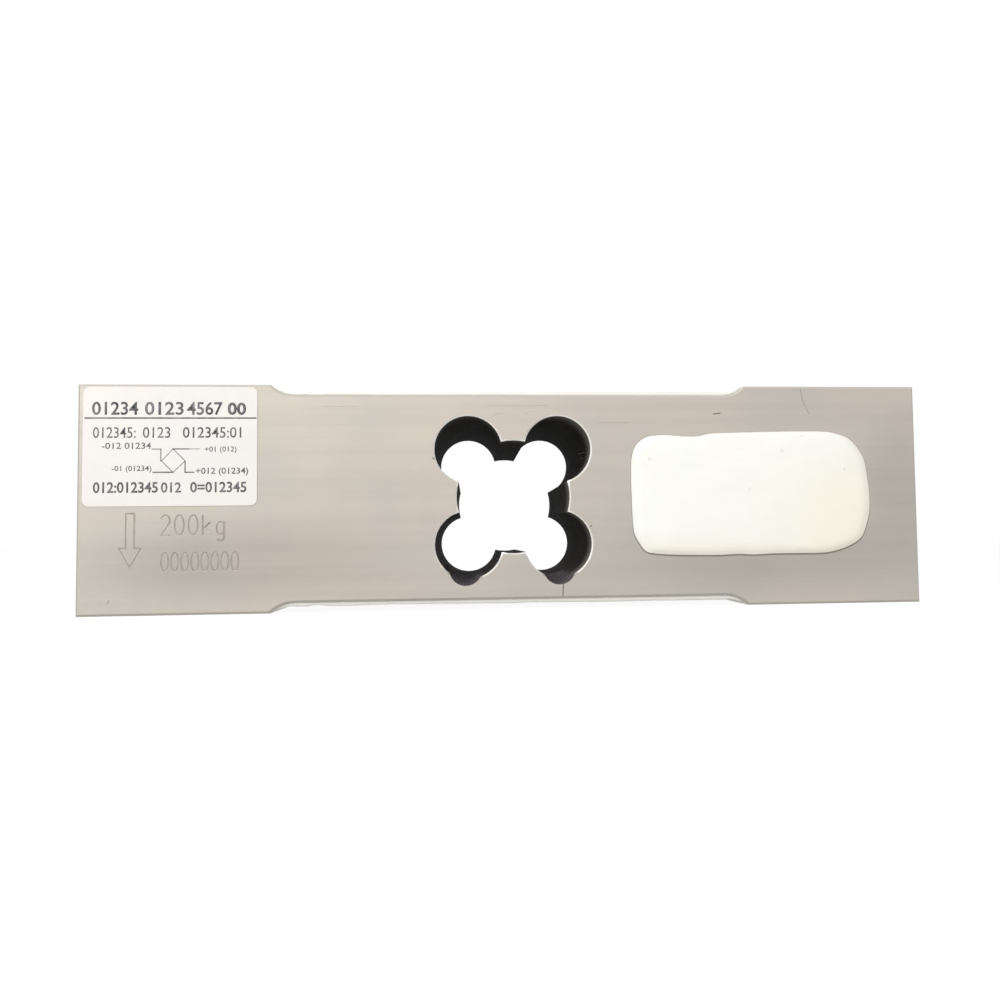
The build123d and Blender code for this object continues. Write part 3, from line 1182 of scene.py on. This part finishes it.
    def build(self, finishes: dict[str, bpy.types.Material]) -> bpy.types.Object:
        """Cut the marks into a copy of the beam's solid, which then stands for it.

        Args:
            finishes: materials under the keys face, cut, scribed, bored and rim.

        Returns:
            The beam's visual piece.
        """
        blank = self.blank(finishes["face"])
        for mark in self.marks():
            self.cut(blank, mark, finishes[mark.finish])
        mesh = blank.data
        drop(blank)
        for key in ("bored", "rim"):
            mesh.materials.append(finishes[key])
        self.shade(mesh)
        piece = new_piece("engraved_beam", mesh, ())
        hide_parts("beam")
        return piece

    def thread_tree(self) -> bpy.types.NodeTree:
        """Geometry nodes for the ridge of a tapped thread, repeated in a line of holes."""
        tree = bpy.data.node_groups.new("tapped_thread", "GeometryNodeTree")
        for name in ("Radius", "Pitch", "Length", "Ridge", "Spacing"):
            tree.interface.new_socket(name, in_out="INPUT", socket_type="NodeSocketFloat")
        tree.interface.new_socket("Finish", in_out="INPUT", socket_type="NodeSocketMaterial")
        tree.interface.new_socket("Geometry", in_out="OUTPUT", socket_type="NodeSocketGeometry")
        graph = Graph(tree)
        given = graph.add("NodeGroupInput").outputs
        helix = graph.add(
            "GeometryNodeCurveSpiral",
            {
                "Resolution": self.thread_steps,
                "Rotations": graph.math("DIVIDE", given["Length"], given["Pitch"]),
                "Start Radius": given["Radius"],
                "End Radius": given["Radius"],
                "Height": given["Length"],
            },
        ).outputs[0]
        share = graph.add("GeometryNodeSplineParameter").outputs["Factor"]
        from_end = graph.math("MINIMUM", share, graph.math("SUBTRACT", 1.0, share))
        swell = graph.math("DIVIDE", from_end, self.thread_runout, clamp=True)
        path = graph.add("GeometryNodeSetCurveRadius", {"Curve": helix, "Radius": swell}).outputs[0]
        profile = {"Resolution": self.thread_corners, "Radius": given["Ridge"]}
        flank = graph.add("GeometryNodeCurvePrimitiveCircle", profile).outputs[0]
        swept = {"Curve": path, "Profile Curve": flank, "Fill Caps": True}
        ridge = graph.add("GeometryNodeCurveToMesh", swept).outputs[0]
        step = graph.add("ShaderNodeCombineXYZ", {"X": given["Spacing"]}).outputs[0]
        line = graph.add("GeometryNodeMeshLine", {"Count": 2, "Offset": step}).outputs[0]
        copies = {"Points": line, "Instance": ridge}
        placed = graph.add("GeometryNodeInstanceOnPoints", copies).outputs[0]
        back = graph.vector("MULTIPLY", step, (-0.5, 0.0, 0.0))
        centred = {"Geometry": placed, "Translation": back}
        moved = graph.add("GeometryNodeTransform", centred).outputs[0]
        real = graph.add("GeometryNodeRealizeInstances", {0: moved}).outputs[0]
        dressed = {"Geometry": real, "Material": given["Finish"]}
        last = graph.add("GeometryNodeSetMaterial", dressed).outputs[0]
        graph.add("NodeGroupOutput", {"Geometry": last})
        return tree

    def threads(self, finish: bpy.types.Material) -> list[bpy.types.Object]:
        """Make the tapped threads of the two pads.

        Args:
            finish: their finish.

        Returns:
            One plain mesh for each pad.
        """
        tree = self.thread_tree()
        sockets = {s.name: s.identifier for s in tree.interface.items_tree if s.in_out == "INPUT"}
        values = {
            "Radius": (self.thread_major + self.thread_clear) * MM,
            "Pitch": self.thread_pitch * MM,
            "Length": self.thread_length * MM,
            "Ridge": self.thread_ridge * MM,
            "Spacing": self.hole_spacing * MM,
            "Finish": finish,
        }
        deepest = self.thread_start + self.thread_length
        pads = (
            ("threads_platform", -1, self.height - deepest, Matrix.Identity(4)),
            ("threads_base", 1, deepest, Matrix.Rotation(math.pi, 4, "X")),
        )
        pieces = []
        for name, end, level, turn in pads:
            carrier = link(name + "_maker", bpy.data.meshes.new(name))
            nodes = carrier.modifiers.new("thread", "NODES")
            nodes.node_group = tree
            for key, value in values.items():
                nodes[sockets[key]] = value
            mesh = evaluated_mesh(carrier)
            drop(carrier)
            place = Vector((end * self.pad_middle, 0, level)) * MM
            mesh.transform(Matrix.Translation(place) @ turn)
            piece = new_piece(name, mesh, (finish,))
            pieces.append(piece)
        return pieces


# Silicone


@dataclass
class Potting:
    """The silicone over the wiring pocket: poured, domed and pushed flat by hand."""

    front: float = -17.5
    crown: float = 1.12
    lip: float = 0.72
    lip_width: float = 0.95
    slack_width: float = 1.9
    foot_width: float = 0.26
    foot_height: float = 0.035
    foot_least: float = 0.15
    sunk: float = 0.03
    slack_below: float = 14.0
    slack_beyond: float = 60.0
    slack_reach: float = 4.0
    slack_right: float = 0.6
    dome_from: float = 0.3
    dome_reach: float = 3.2
    swell_height: float = 0.10
    ripple_height: float = 0.045
    centre: Point = (43.4, 20.4)
    centre_inset: float = 10.0
    crowding: float = 1.9
    crease: float = 60.0
    knot_steps: int = 12
    rings: int = 48
    spokes: int = 260
    edge: tuple[Point, ...] = (
        (21.4, 26.7), (22.0, 28.7), (23.0, 29.9), (24.8, 30.8), (28.0, 31.0), (31.3, 30.75),
        (34.0, 30.8), (35.9, 31.25), (39.6, 31.4), (43.4, 31.5), (48.1, 31.6), (52.8, 31.65),
        (57.5, 31.6), (59.4, 31.3), (61.8, 30.5), (63.6, 28.8), (64.9, 26.5), (65.5, 23.3),
        (65.8, 20.1), (65.7, 16.8), (65.0, 14.1), (64.0, 12.0), (62.1, 10.7), (59.7, 9.8),
        (56.9, 9.3), (52.2, 9.25), (47.5, 9.25), (43.7, 9.1), (41.0, 9.25), (37.3, 9.1),
        (33.6, 9.15), (29.0, 9.25), (25.3, 9.55), (23.7, 10.0), (22.6, 11.4), (21.7, 13.2),
        (21.4, 16.3), (21.3, 19.9), (21.25, 23.5),
    )

    def along_edge(self, index: int, t: float) -> Vector:
        """Find a place on the smooth closed line through the edge's points.

        Args:
            index: the point before it.
            t: its share of the way to the next point.

        Returns:
            The place, along the beam and upwards.
        """
        knots = (self.edge[(index + k - 1) % len(self.edge)] for k in range(4))
        p0, p1, p2, p3 = (Vector(knot) for knot in knots)
        bend = 2 * p0 - 5 * p1 + 4 * p2 - p3
        turn = 3 * p1 - p0 - 3 * p2 + p3
        return 0.5 * ((2 * p1) + (p2 - p0) * t + bend * t * t + turn * t**3)

    def outline(self) -> list[Vector]:
        """The smeared edge as evenly spaced points of a smooth closed line."""
        steps = self.knot_steps
        fine = [self.along_edge(i, k / steps) for i in range(len(self.edge)) for k in range(steps)]
        lengths = [0.0]
        for a, b in zip(fine, fine[1:] + fine[:1]):
            lengths.append(lengths[-1] + (b - a).length)
        total, points, index = lengths[-1], [], 0
        for k in range(self.spokes):
            goal = total * k / self.spokes
            while lengths[index + 1] < goal:
                index += 1
            share = (goal - lengths[index]) / (lengths[index + 1] - lengths[index])
            points.append(fine[index].lerp(fine[(index + 1) % len(fine)], share))
        return points

    def rise(self, point: Vector, inset: float) -> float:
        """Find how far the silicone stands off the face.

        Args:
            point: the place, along the beam and upwards.
            inset: its distance from the edge.

        Returns:
            The height over the face.
        """
        below = min(1.0, (self.slack_below - point.y) / self.slack_reach)
        beyond = min(1.0, (point.x - self.slack_beyond) / self.slack_reach)
        slack = max(below, self.slack_right * beyond, 0.0)
        width = self.lip_width + (self.slack_width - self.lip_width) * slack
        shoulder = min(1.0, inset / width)
        round_off = math.sqrt(max(0.0, 1 - (1 - shoulder) ** 2))
        grown = 1 - math.exp(-max(0.0, inset - self.dome_from) / self.dome_reach)
        dome = (self.crown - self.lip) * grown
        where = Vector((point.x * 0.11, point.y * 0.2, 0.0))
        swell = self.swell_height * noise.noise(where)
        swell += self.ripple_height * noise.noise(where * 3.1 + Vector((7, 3, 1)))
        return max(self.foot_height, self.lip * round_off + dome * shoulder + swell * shoulder)

    def foot(self, edge: Sequence[Vector]) -> list[Vector]:
        """Widen the edge to the outer line of the thin foot, which takes the painted shadow.

        Args:
            edge: the smeared edge.

        Returns:
            The foot's line, which is farthest out under the lower edge.
        """
        pushed = []
        for k, at in enumerate(edge):
            along = edge[(k + 1) % len(edge)] - edge[k - 1]
            outward = Vector((-along.y, along.x)).normalized()
            share = self.foot_least + (1 - self.foot_least) * max(0.0, -outward.y)
            pushed.append(at + outward * self.foot_width * share)
        return pushed

    def surface(self) -> list[Place]:
        """Points in rings from the edge inwards, then the foot's two rings and the middle."""
        edge = self.outline()
        centre = Vector(self.centre)
        points: list[Place] = []
        for ring in range(self.rings):
            share = 1 - (1 - ring / self.rings) ** self.crowding
            for at in edge:
                spot = at.lerp(centre, share)
                points.append((spot.x, self.front - self.rise(spot, (at - spot).length), spot.y))
        for level in (-self.foot_height, self.sunk):
            points += [(at.x, self.front + level, at.y) for at in self.foot(edge)]
        points.append((centre.x, self.front - self.rise(centre, self.centre_inset), centre.y))
        return points

    def quads(self, first: int, second: int) -> list[tuple[int, ...]]:
        """Join two rings.

        Args:
            first: the number of one ring's first point.
            second: the number of the other ring's first point.

        Returns:
            The faces between them.
        """
        pairs = [(k, (k + 1) % self.spokes) for k in range(self.spokes)]
        return [(first + a, first + b, second + b, second + a) for a, b in pairs]

    def build(self, finish: bpy.types.Material) -> bpy.types.Object:
        """Make the silicone as one closed form.

        Args:
            finish: its finish.

        Returns:
            The visual piece that stands for the potting's solid.
        """
        points = self.surface()
        tip = len(points) - 1
        first_back = tip - self.spokes
        first_foot = first_back - self.spokes
        last = first_foot - self.spokes
        faces: list[tuple[int, ...]] = []
        for ring in range(self.rings - 1):
            faces += self.quads(ring * self.spokes, (ring + 1) * self.spokes)
        faces += [(last + k, last + (k + 1) % self.spokes, tip) for k in range(self.spokes)]
        faces += self.quads(first_back, first_foot) + self.quads(first_foot, 0)
        faces.append(tuple(range(first_back, tip)))
        mesh = mesh_from("smeared_potting", points, faces)
        mesh.set_sharp_from_angle(angle=math.radians(self.crease))
        piece = new_piece("smeared_potting", mesh, (finish,))
        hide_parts("side_potting")
        return piece


@dataclass
class GaugeCoat:
    """The silicone brushed over the gauges on one side of the waist."""

    side: Side
    waist: float = 18.2
    relief_radius: float = 6.0
    flat_half: float = 38.22
    arc_angle: float = 36.0
    step_share: float = 0.4
    half_width: float = 17.0
    middle_z: float = 20.0
    most: float = 0.88
    middle: float = 0.7
    edge_round: float = 0.35
    edge_reach: float = 3.0
    gauge_x: float = 8.0
    gauge_half: Point = (5.0, 4.0)
    gauge_reach: float = 1.35
    gauge_lump: float = 0.35
    wires_x: Span = (-4.0, 33.0)
    wires_y: float = -8.4
    wires_half: float = 3.0
    wires_lump: float = 0.22
    lump_height: float = 0.18
    brushed: float = 0.05
    crowding: float = 0.6
    feather_steps: int = 3
    flat_steps: int = 150
    arc_steps: int = 10
    cross_steps: int = 64
    edge: tuple[Point, ...] = (
        (-38.2, 0.74), (-36.2, 0.76), (-35.2, 0.50), (-33.9, 0.54), (-33.0, 0.72), (-29.0, 0.77),
        (-25.6, 0.68), (-21.0, 0.62), (-17.5, 0.68), (-13.0, 0.70), (-8.0, 0.76), (-2.0, 0.82),
        (0.4, 0.83), (2.6, 0.71), (6.0, 0.76), (12.0, 0.82), (17.0, 0.86), (22.0, 0.83),
        (25.0, 0.82), (29.0, 0.87), (38.2, 0.87),
    )

    def profile(self) -> list[tuple[Vector, Vector, float]]:
        """Points along the waist and up its steps, with their normals and shares of thickness."""
        path = []
        for i in range(self.arc_steps):
            left = 1 - i / self.arc_steps
            angle = math.radians(self.arc_angle) * left
            up = self.relief_radius * (1 - math.cos(angle))
            spot = Vector((-self.flat_half - self.relief_radius * math.sin(angle), up))
            feathered = math.sin(min(1.0, i / self.feather_steps) * math.pi / 2)
            share = (1 - left * (1 - self.step_share)) * feathered
            path.append((spot, Vector((math.sin(angle), math.cos(angle))), share))
        for i in range(self.flat_steps + 1):
            spot = Vector((self.flat_half * (2 * i / self.flat_steps - 1), 0.0))
            path.append((spot, Vector((0.0, 1.0)), 1.0))
        for spot, normal, share in reversed(path[: self.arc_steps]):
            path.append((Vector((-spot.x, spot.y)), Vector((-normal.x, normal.y)), share))
        return path

    def widths(self) -> list[float]:
        """Places across the coat, closer together near its front and back."""
        places = []
        for j in range(self.cross_steps + 1):
            crowded = -math.cos(math.pi * j / self.cross_steps)
            even = 2 * j / self.cross_steps - 1
            share = self.crowding * crowded + (1 - self.crowding) * even
            places.append(self.half_width * share)
        return places

    def edge_thickness(self, x: float) -> float:
        """Read the thickness along the front and back edges.

        Args:
            x: the place along the beam.

        Returns:
            The thickness there.
        """
        for (x0, t0), (x1, t1) in zip(self.edge, self.edge[1:]):
            if x <= x1:
                return t0 + (t1 - t0) * max(0.0, x - x0) / (x1 - x0)
        return self.edge[-1][1]

    def lump(self, x: float, y: float) -> float:
        """Find how much of a lump the gauges and wires make.

        Args:
            x: the place along the beam.
            y: the place across it.

        Returns:
            From 0 for none to 1 for a full lump.
        """
        covered = 0.0
        for centre in (-self.gauge_x, self.gauge_x):
            away = max(abs(x - centre) / self.gauge_half[0], abs(y) / self.gauge_half[1])
            covered = max(covered, max(0.0, self.gauge_reach - away) * self.gauge_lump)
        wired = self.wires_lump if self.wires_x[0] < x < self.wires_x[1] else 0.0
        wires = max(0.0, 1 - abs(y - self.wires_y) / self.wires_half) * wired
        return min(1.0, covered + wires)

    def depth(self, x: float, y: float) -> float:
        """Find the coat's thickness, with lumps over what it covers.

        Args:
            x: the place along the beam.
            y: the place across it.

        Returns:
            The thickness, which is nothing at the front and the back.
        """
        fine = Vector((x * 0.5, y * 0.12, self.side.value * 3.0))
        broad = Vector((x * 0.08, y * 0.2, 9.0))
        brushed = self.brushed * noise.noise(fine)
        brushed += self.brushed * noise.noise(broad)
        near = max(0.0, 1 - (self.half_width - abs(y)) / self.edge_reach)
        level = self.middle + (self.edge_thickness(x) - self.middle) * near
        lumpy = level + self.lump_height * self.lump(x, y)
        full = min(self.most, lumpy + brushed * (1 - near))
        rounding = max(0.0, abs(y) - (self.half_width - self.edge_round)) / self.edge_round
        return full * math.sqrt(max(0.0, 1 - rounding * rounding))

    def build(self, finish: bpy.types.Material) -> bpy.types.Object:
        """Make the coat as one closed form that follows the waist.

        Args:
            finish: its finish.

        Returns:
            The visual piece that stands for the coat's solid.
        """
        path, widths = self.profile(), self.widths()
        points: list[Place] = []
        for upper in (False, True):
            for spot, normal, share in path:
                for y in widths:
                    at = spot + normal * (self.depth(spot.x, y) * share if upper else 0.0)
                    z = self.middle_z + self.side.value * (self.waist + at.y)
                    points.append((at.x, y, z))
        rows, columns = len(path), len(widths)
        top = rows * columns
        faces: list[tuple[int, ...]] = []
        for i in range(rows - 1):
            for j in range(columns - 1):
                a = i * columns + j
                quad = (a, a + 1, a + columns + 1, a + columns)
                faces.append(quad)
                faces.append(tuple(top + k for k in quad))
        side = self.side.name.lower()
        mesh = mesh_from(f"brushed_coat_{side}", points, faces)
        piece = new_piece(mesh.name, mesh, (finish,))
        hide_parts(f"{side}_coat")
        return piece


# Label


@dataclass(frozen=True)
class PrintedFigures:
    """One run of plain figures on the label, by the box that it fills."""

    text: str
    left: float
    right: float
    base: float
    top: float
    bold: float = 0.0


@dataclass
class LabelPrint:
    """The print on the rating label: a rule, runs of plain figures and a bridge diagram."""

    face: float = -17.62
    ink: float = 0.012
    ink_share: float = 0.98
    runs: tuple[PrintedFigures, ...] = (
        PrintedFigures("01234", -72.5, -64.8, 34.6, 36.9, 0.016),
        PrintedFigures("0123", -63.7, -57.2, 34.6, 36.9, 0.016),
        PrintedFigures("4567", -56.6, -50.6, 34.6, 36.9, 0.016),
        PrintedFigures("00", -49.75, -46.6, 34.6, 36.8, 0.03),
        PrintedFigures("012345:", -72.3, -65.2, 30.6, 32.5, 0.004),
        PrintedFigures("0123", -64.0, -59.4, 30.6, 32.5, 0.004),
        PrintedFigures("012345:01", -57.3, -47.4, 30.6, 32.5, 0.008),
        PrintedFigures("-012 01234", -70.8, -62.6, 28.7, 29.8, 0.008),
        PrintedFigures("+01 (012)", -53.6, -48.2, 27.9, 29.1, 0.008),
        PrintedFigures("-01 (01234)", -69.1, -62.5, 24.6, 25.8, 0.008),
        PrintedFigures("+012 (01234)", -55.1, -46.2, 24.0, 25.4, 0.012),
        PrintedFigures("012:012345", -72.2, -61.4, 21.1, 23.0, 0.02),
        PrintedFigures("012", -60.9, -57.5, 21.1, 22.9, 0.016),
        PrintedFigures("0=012345", -56.0, -46.5, 21.1, 22.95, 0.02),
    )
    lines: tuple[tuple[float, tuple[Point, ...]], ...] = (
        (0.26, ((-73.6, 34.06), (-44.95, 34.06))),
        (0.13, ((-60.85, 26.6), (-58.9, 28.68), (-56.87, 26.6), (-58.9, 24.63), (-60.85, 26.6))),
        (0.16, ((-62.4, 28.66), (-60.95, 28.66), (-60.95, 26.6))),
        (0.20, ((-58.95, 28.68), (-56.3, 28.68))),
        (0.12, ((-56.3, 28.68), (-54.5, 28.68))),
        (0.22, ((-62.2, 24.64), (-58.9, 24.64))),
        (0.20, ((-56.87, 26.55), (-56.87, 24.62), (-55.4, 24.62))),
    )

    def figures(self, run: PrintedFigures) -> bpy.types.Mesh:
        """Make one run of figures.

        Args:
            run: its text and its box.

        Returns:
            A flat mesh that fills the box on the label.
        """
        curve = bpy.data.curves.new("figures", "FONT")
        curve.body = run.text
        curve.offset = run.bold
        curve.resolution_u = 3
        curve.fill_mode = "FRONT"
        holder = link("figures", curve)
        mesh = evaluated_mesh(holder)
        drop(holder)
        xs = [v.co.x for v in mesh.vertices]
        ys = [v.co.y for v in mesh.vertices]
        wide, high = max(xs) - min(xs), max(ys) - min(ys)
        for v in mesh.vertices:
            x = run.left + (v.co.x - min(xs)) / wide * (run.right - run.left)
            z = run.base + (v.co.y - min(ys)) / high * (run.top - run.base)
            v.co = Vector((x, self.face - self.ink, z)) * MM
        return mesh

    def line(
        self, width: float, path: Sequence[Point]
    ) -> tuple[list[Vector], list[tuple[int, ...]]]:
        """Draw a line as flat quads with overlapping square ends.

        Args:
            width: how wide it is.
            path: its corners, along the beam and upwards.

        Returns:
            Points in metres and the faces between them.
        """
        points: list[Vector] = []
        faces: list[tuple[int, ...]] = []
        for a, b in zip(path, path[1:]):
            a, b = Vector(a), Vector(b)
            along = (b - a).normalized() * width / 2
            side = Vector((-along.y, along.x))
            start = len(points)
            for p in (a - along - side, b + along - side, b + along + side, a - along + side):
                points.append(Vector((p.x, self.face - self.ink, p.y)) * MM)
            faces.append((start, start + 1, start + 2, start + 3))
        return points, faces

    def build(self, finish: bpy.types.Material) -> bpy.types.Object:
        """Join all the print into one piece with a back, so that it is closed.

        Args:
            finish: the ink's finish.

        Returns:
            The print's visual piece.
        """
        work = bmesh.new()
        for run in self.runs:
            mesh = self.figures(run)
            work.from_mesh(mesh)
            bpy.data.meshes.remove(mesh)
        for width, path in self.lines:
            points, faces = self.line(width, path)
            made = [work.verts.new(p) for p in points]
            for face in faces:
                work.faces.new([made[i] for i in face])
        for face in work.faces:
            if face.normal.y > 0:
                face.normal_flip()
        extruded = bmesh.ops.extrude_face_region(work, geom=work.faces[:])
        moved = [item for item in extruded["geom"] if isinstance(item, bmesh.types.BMVert)]
        back = Vector((0, self.ink * self.ink_share * MM, 0))
        bmesh.ops.translate(work, verts=moved, vec=back)
        bmesh.ops.recalc_face_normals(work, faces=work.faces)
        mesh = bpy.data.meshes.new("label_print")
        work.to_mesh(mesh)
        work.free()
        piece = new_piece("label_print", mesh, (finish,))
        return piece


# Small pieces


def dress_node(name: str, material: bpy.types.Material) -> None:
    """Give one CAD node that keeps its shape a finish."""
    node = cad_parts[name]
    node.data.materials.clear()
    node.data.materials.append(material)


@dataclass
class HiddenWiring:
    """Finishes for the pieces under the silicone and in the pocket."""

    middle_z: float = 20.0
    foil_height: float = 18.27
    land_height: float = 18.295
    chip_half: float = 1.1

    def finishes(self) -> dict[str, SmallPart]:
        """Node name starts to their finishes; the first that fits a name is used."""
        amber, foil = (0.50, 0.24, 0.05), (0.55, 0.50, 0.44)
        copper, tin = (0.60, 0.28, 0.13), (0.62, 0.61, 0.58)
        laminate, laminate_pale = (0.02, 0.13, 0.045), (0.03, 0.16, 0.06)
        over_foil = {"second": foil, "centre": self.middle_z, "limit": self.foil_height}
        over_lands = {"second": copper, "centre": self.middle_z, "limit": self.land_height}
        return {
            "gauge": SmallPart("gauge_foil", amber, (0.42, 0.19, 0.04), 0.3, **over_foil),
            "terminal": SmallPart("terminal_lands", amber, (0.40, 0.20, 0.05), 0.35, **over_lands),
            "jumper": SmallPart("tinned_ribbon", tin, (0.52, 0.50, 0.47), 0.3, 1.0),
            "lead": SmallPart(
                "enamelled_wire", (0.35, 0.06, 0.02), (0.28, 0.05, 0.02), 0.25, 0.3, 8.0
            ),
            "board_lands": SmallPart("tinned_lands", tin, copper, 0.35, 1.0),
            "circuit_board": SmallPart("board_laminate", laminate, laminate_pale, 0.35, 0.0, 5.0),
        }

    def chip(self, name: str) -> SmallPart:
        """Choose the finish of a chip, dark between two tinned ends.

        Args:
            name: its CAD node.

        Returns:
            The finish, with its ends where the node's are.
        """
        low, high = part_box(name)
        return SmallPart(
            f"chip_{name}",
            (0.015, 0.015, 0.015),
            (0.03, 0.03, 0.03),
            0.3,
            second=(0.60, 0.59, 0.56),
            axis=0,
            centre=(low.x + high.x) / 2 / MM,
            limit=self.chip_half,
        )

    def dress(self, effects: Effects) -> int:
        """Give every hidden CAD node its finish.

        Args:
            effects: the shared surface effects.

        Returns:
            How many nodes were dressed.
        """
        built = {start: finish.build(effects) for start, finish in self.finishes().items()}
        count = 0
        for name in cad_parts:
            material = next((m for start, m in built.items() if name.startswith(start)), None)
            if name.endswith(("resistor_upper", "resistor_lower", "zero_resistor")):
                material = self.chip(name).build(effects)
            if material is not None:
                dress_node(name, material)
                count += 1
        return count


# Stage


@dataclass(frozen=True)
class PhotoCamera:
    """The photograph's viewpoint, fitted to the beam's corners and the clover's two rims."""

    place: Place = (-8.091, -153.042, 12.354)
    turn: tuple[float, float, float] = (2.5229, 0.6634, -4.1962)
    focal_px: float = 762.36
    middle_px: Point = (524.38, 505.74)
    frame_px: float = 1000.0
    sensor_width: float = 36.0
    clip: Span = (0.005, 20.0)

    def build(self) -> None:
        """Create the camera and make it the scene's."""
        data = bpy.data.cameras.new("photo_camera")
        data.sensor_width = self.sensor_width
        data.lens = self.focal_px / self.frame_px * data.sensor_width
        data.shift_x = 0.5 - self.middle_px[0] / self.frame_px
        data.shift_y = self.middle_px[1] / self.frame_px - 0.5
        data.clip_start, data.clip_end = self.clip
        camera = link("photo_camera", data)
        tilt, roll, yaw = (math.radians(angle) for angle in self.turn)
        turn = Matrix.Rotation(yaw, 3, "Z") @ Matrix.Rotation(roll, 3, "Y")
        turn = turn @ Matrix.Rotation(tilt, 3, "X")
        axes = Matrix((turn.col[0], turn.col[2], -turn.col[1])).transposed()
        camera.matrix_world = Matrix.Translation(Vector(self.place) * MM) @ axes.to_4x4()
        bpy.context.scene.camera = camera


@dataclass(frozen=True)
class Lamp:
    """A soft square lamp that points at the beam."""

    name: str
    place: Place
    size: float
    watts: float
    colour: Colour = (1.0, 1.0, 1.0)
    target: Place = (0.0, 0.0, 20.0)

    def build(self) -> None:
        """Create the lamp."""
        data = bpy.data.lights.new(self.name, "AREA")
        data.energy, data.size, data.color = self.watts, self.size * MM, self.colour
        lamp = link(self.name, data)
        lamp.location = Vector(self.place) * MM
        aim = Vector(self.target) - Vector(self.place)
        lamp.rotation_euler = aim.to_track_quat("-Z", "Y").to_euler()


@dataclass(frozen=True)
class Studio:
    """A pale floor, a white surround and soft lamps."""

    floor_half: float = 3000.0
    floor_gap: float = 0.05
    floor_colour: Colour = (0.80, 0.80, 0.80)
    floor_glow: float = 0.90
    glow_level: float = 1.05
    world_level: float = 0.58
    white: tuple[float, ...] = (1.0, 1.0, 1.0, 1.0)
    lamps: tuple[Lamp, ...] = (
        Lamp("key", (-150.0, -380.0, 420.0), 260.0, 1.43),
        Lamp("side", (-380.0, -330.0, 220.0), 260.0, 0.56),
    )

    def white_for_view(self, graph: Graph) -> bpy.types.NodeSocket:
        """1 where a ray comes from the camera, a reflection or a transmission."""
        path = graph.add("ShaderNodeLightPath").outputs
        seen = graph.math("MAXIMUM", path["Is Camera Ray"], path["Is Glossy Ray"])
        return graph.math("MAXIMUM", seen, path["Is Transmission Ray"])

    def world(self) -> None:
        """A plain grey light that looks white."""
        world = bpy.data.worlds.new("studio")
        bpy.context.scene.world = world
        world.use_nodes = True
        graph = Graph(world.node_tree)
        level = graph.add(
            "ShaderNodeMapRange",
            {"Value": self.white_for_view(graph), "To Min": self.world_level, "To Max": 1.0},
        )
        shine = {"Color": self.white, "Strength": level.outputs[0]}
        light = graph.add("ShaderNodeBackground", shine)
        graph.add("ShaderNodeOutputWorld", {"Surface": light.outputs[0]})

    def floor(self) -> None:
        """A wide floor that looks white, takes a shadow and is clear from below."""
        half, level = self.floor_half * MM, -self.floor_gap * MM
        mesh = bpy.data.meshes.new("floor")
        corners = [(x * half, y * half, level) for x, y in ((-1, -1), (1, -1), (1, 1), (-1, 1))]
        mesh.from_pydata(corners, [], [(0, 1, 2, 3)])
        floor = link("floor", mesh)
        material = bpy.data.materials.new("pale_floor")
        material.use_nodes = True
        graph = Graph(material.node_tree)
        matt = graph.add("ShaderNodeBsdfDiffuse", {"Color": (*self.floor_colour, 1.0)})
        shine = {"Color": self.white, "Strength": self.glow_level}
        glow = graph.add("ShaderNodeEmission", shine)
        share = graph.math("MULTIPLY", self.white_for_view(graph), self.floor_glow)
        both = graph.add("ShaderNodeMixShader", {0: share, 1: matt.outputs[0], 2: glow.outputs[0]})
        below = graph.add("ShaderNodeNewGeometry").outputs["Backfacing"]
        clear = graph.add("ShaderNodeBsdfTransparent")
        faced = {0: below, 1: both.outputs[0], 2: clear.outputs[0]}
        sides = graph.add("ShaderNodeMixShader", faced)
        graph.add("ShaderNodeOutputMaterial", {"Surface": sides.outputs[0]})
        mesh.materials.append(material)

    def build(self) -> None:
        """Set up the whole stage."""
        bpy.context.scene.view_settings.view_transform = "Standard"
        self.world()
        self.floor()
        for lamp in self.lamps:
            lamp.build()


# Assembly


def report(piece: bpy.types.Object) -> None:
    """Log a piece that is ready, with its count of faces."""
    log.info("%s has %d faces", piece.name, len(piece.data.polygons))


def main() -> None:
    """Build every sub-assembly in order and report each piece."""
    logging.basicConfig(level=logging.INFO, format="%(name)s: %(message)s")
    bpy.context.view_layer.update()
    PhotoCamera().build()
    Studio().build()
    effects = Effects()

    beam = Beam()
    finishes = {
        "face": MilledAluminium(),
        # Painted shade: the cut and scribed finishes darken the floors of the grooves.
        "cut": ScoredMetal(),
        "scribed": ScoredMetal("scribed_metal", (0.20, 0.18, 0.15), (0.27, 0.245, 0.21)),
        "bored": BoredWall(),
        # Painted highlight: a near-white tone on the clover's rim chamfers.
        "rim": SmallPart("painted_rim_highlight", (0.93, 0.91, 0.87), (0.86, 0.84, 0.79), 0.4, 0.6),
    }
    report(beam.build({key: finish.build(effects) for key, finish in finishes.items()}))
    for piece in beam.threads(TappedThread().build(effects)):
        report(piece)

    potting = PottingSilicone("potting_silicone", (0.95, 0.94, 0.86), (0.945, 0.94, 0.885))
    report(Potting().build(potting.build(effects)))
    coat = CoatSilicone("coat_silicone", (0.87, 0.86, 0.79), (0.84, 0.83, 0.77), 0.38, 0.03)
    coat_finish = coat.build(effects)
    for side in Side:
        report(GaugeCoat(side).build(coat_finish))

    dress_node("rating_label", LabelFilm().build(effects))
    report(LabelPrint().build(LabelInk().build(effects)))
    dress_node("cable_seal", Rubber().build(effects))
    log.info("%d hidden nodes dressed", HiddenWiring().dress(effects))


if __name__ == "__main__":
    main()
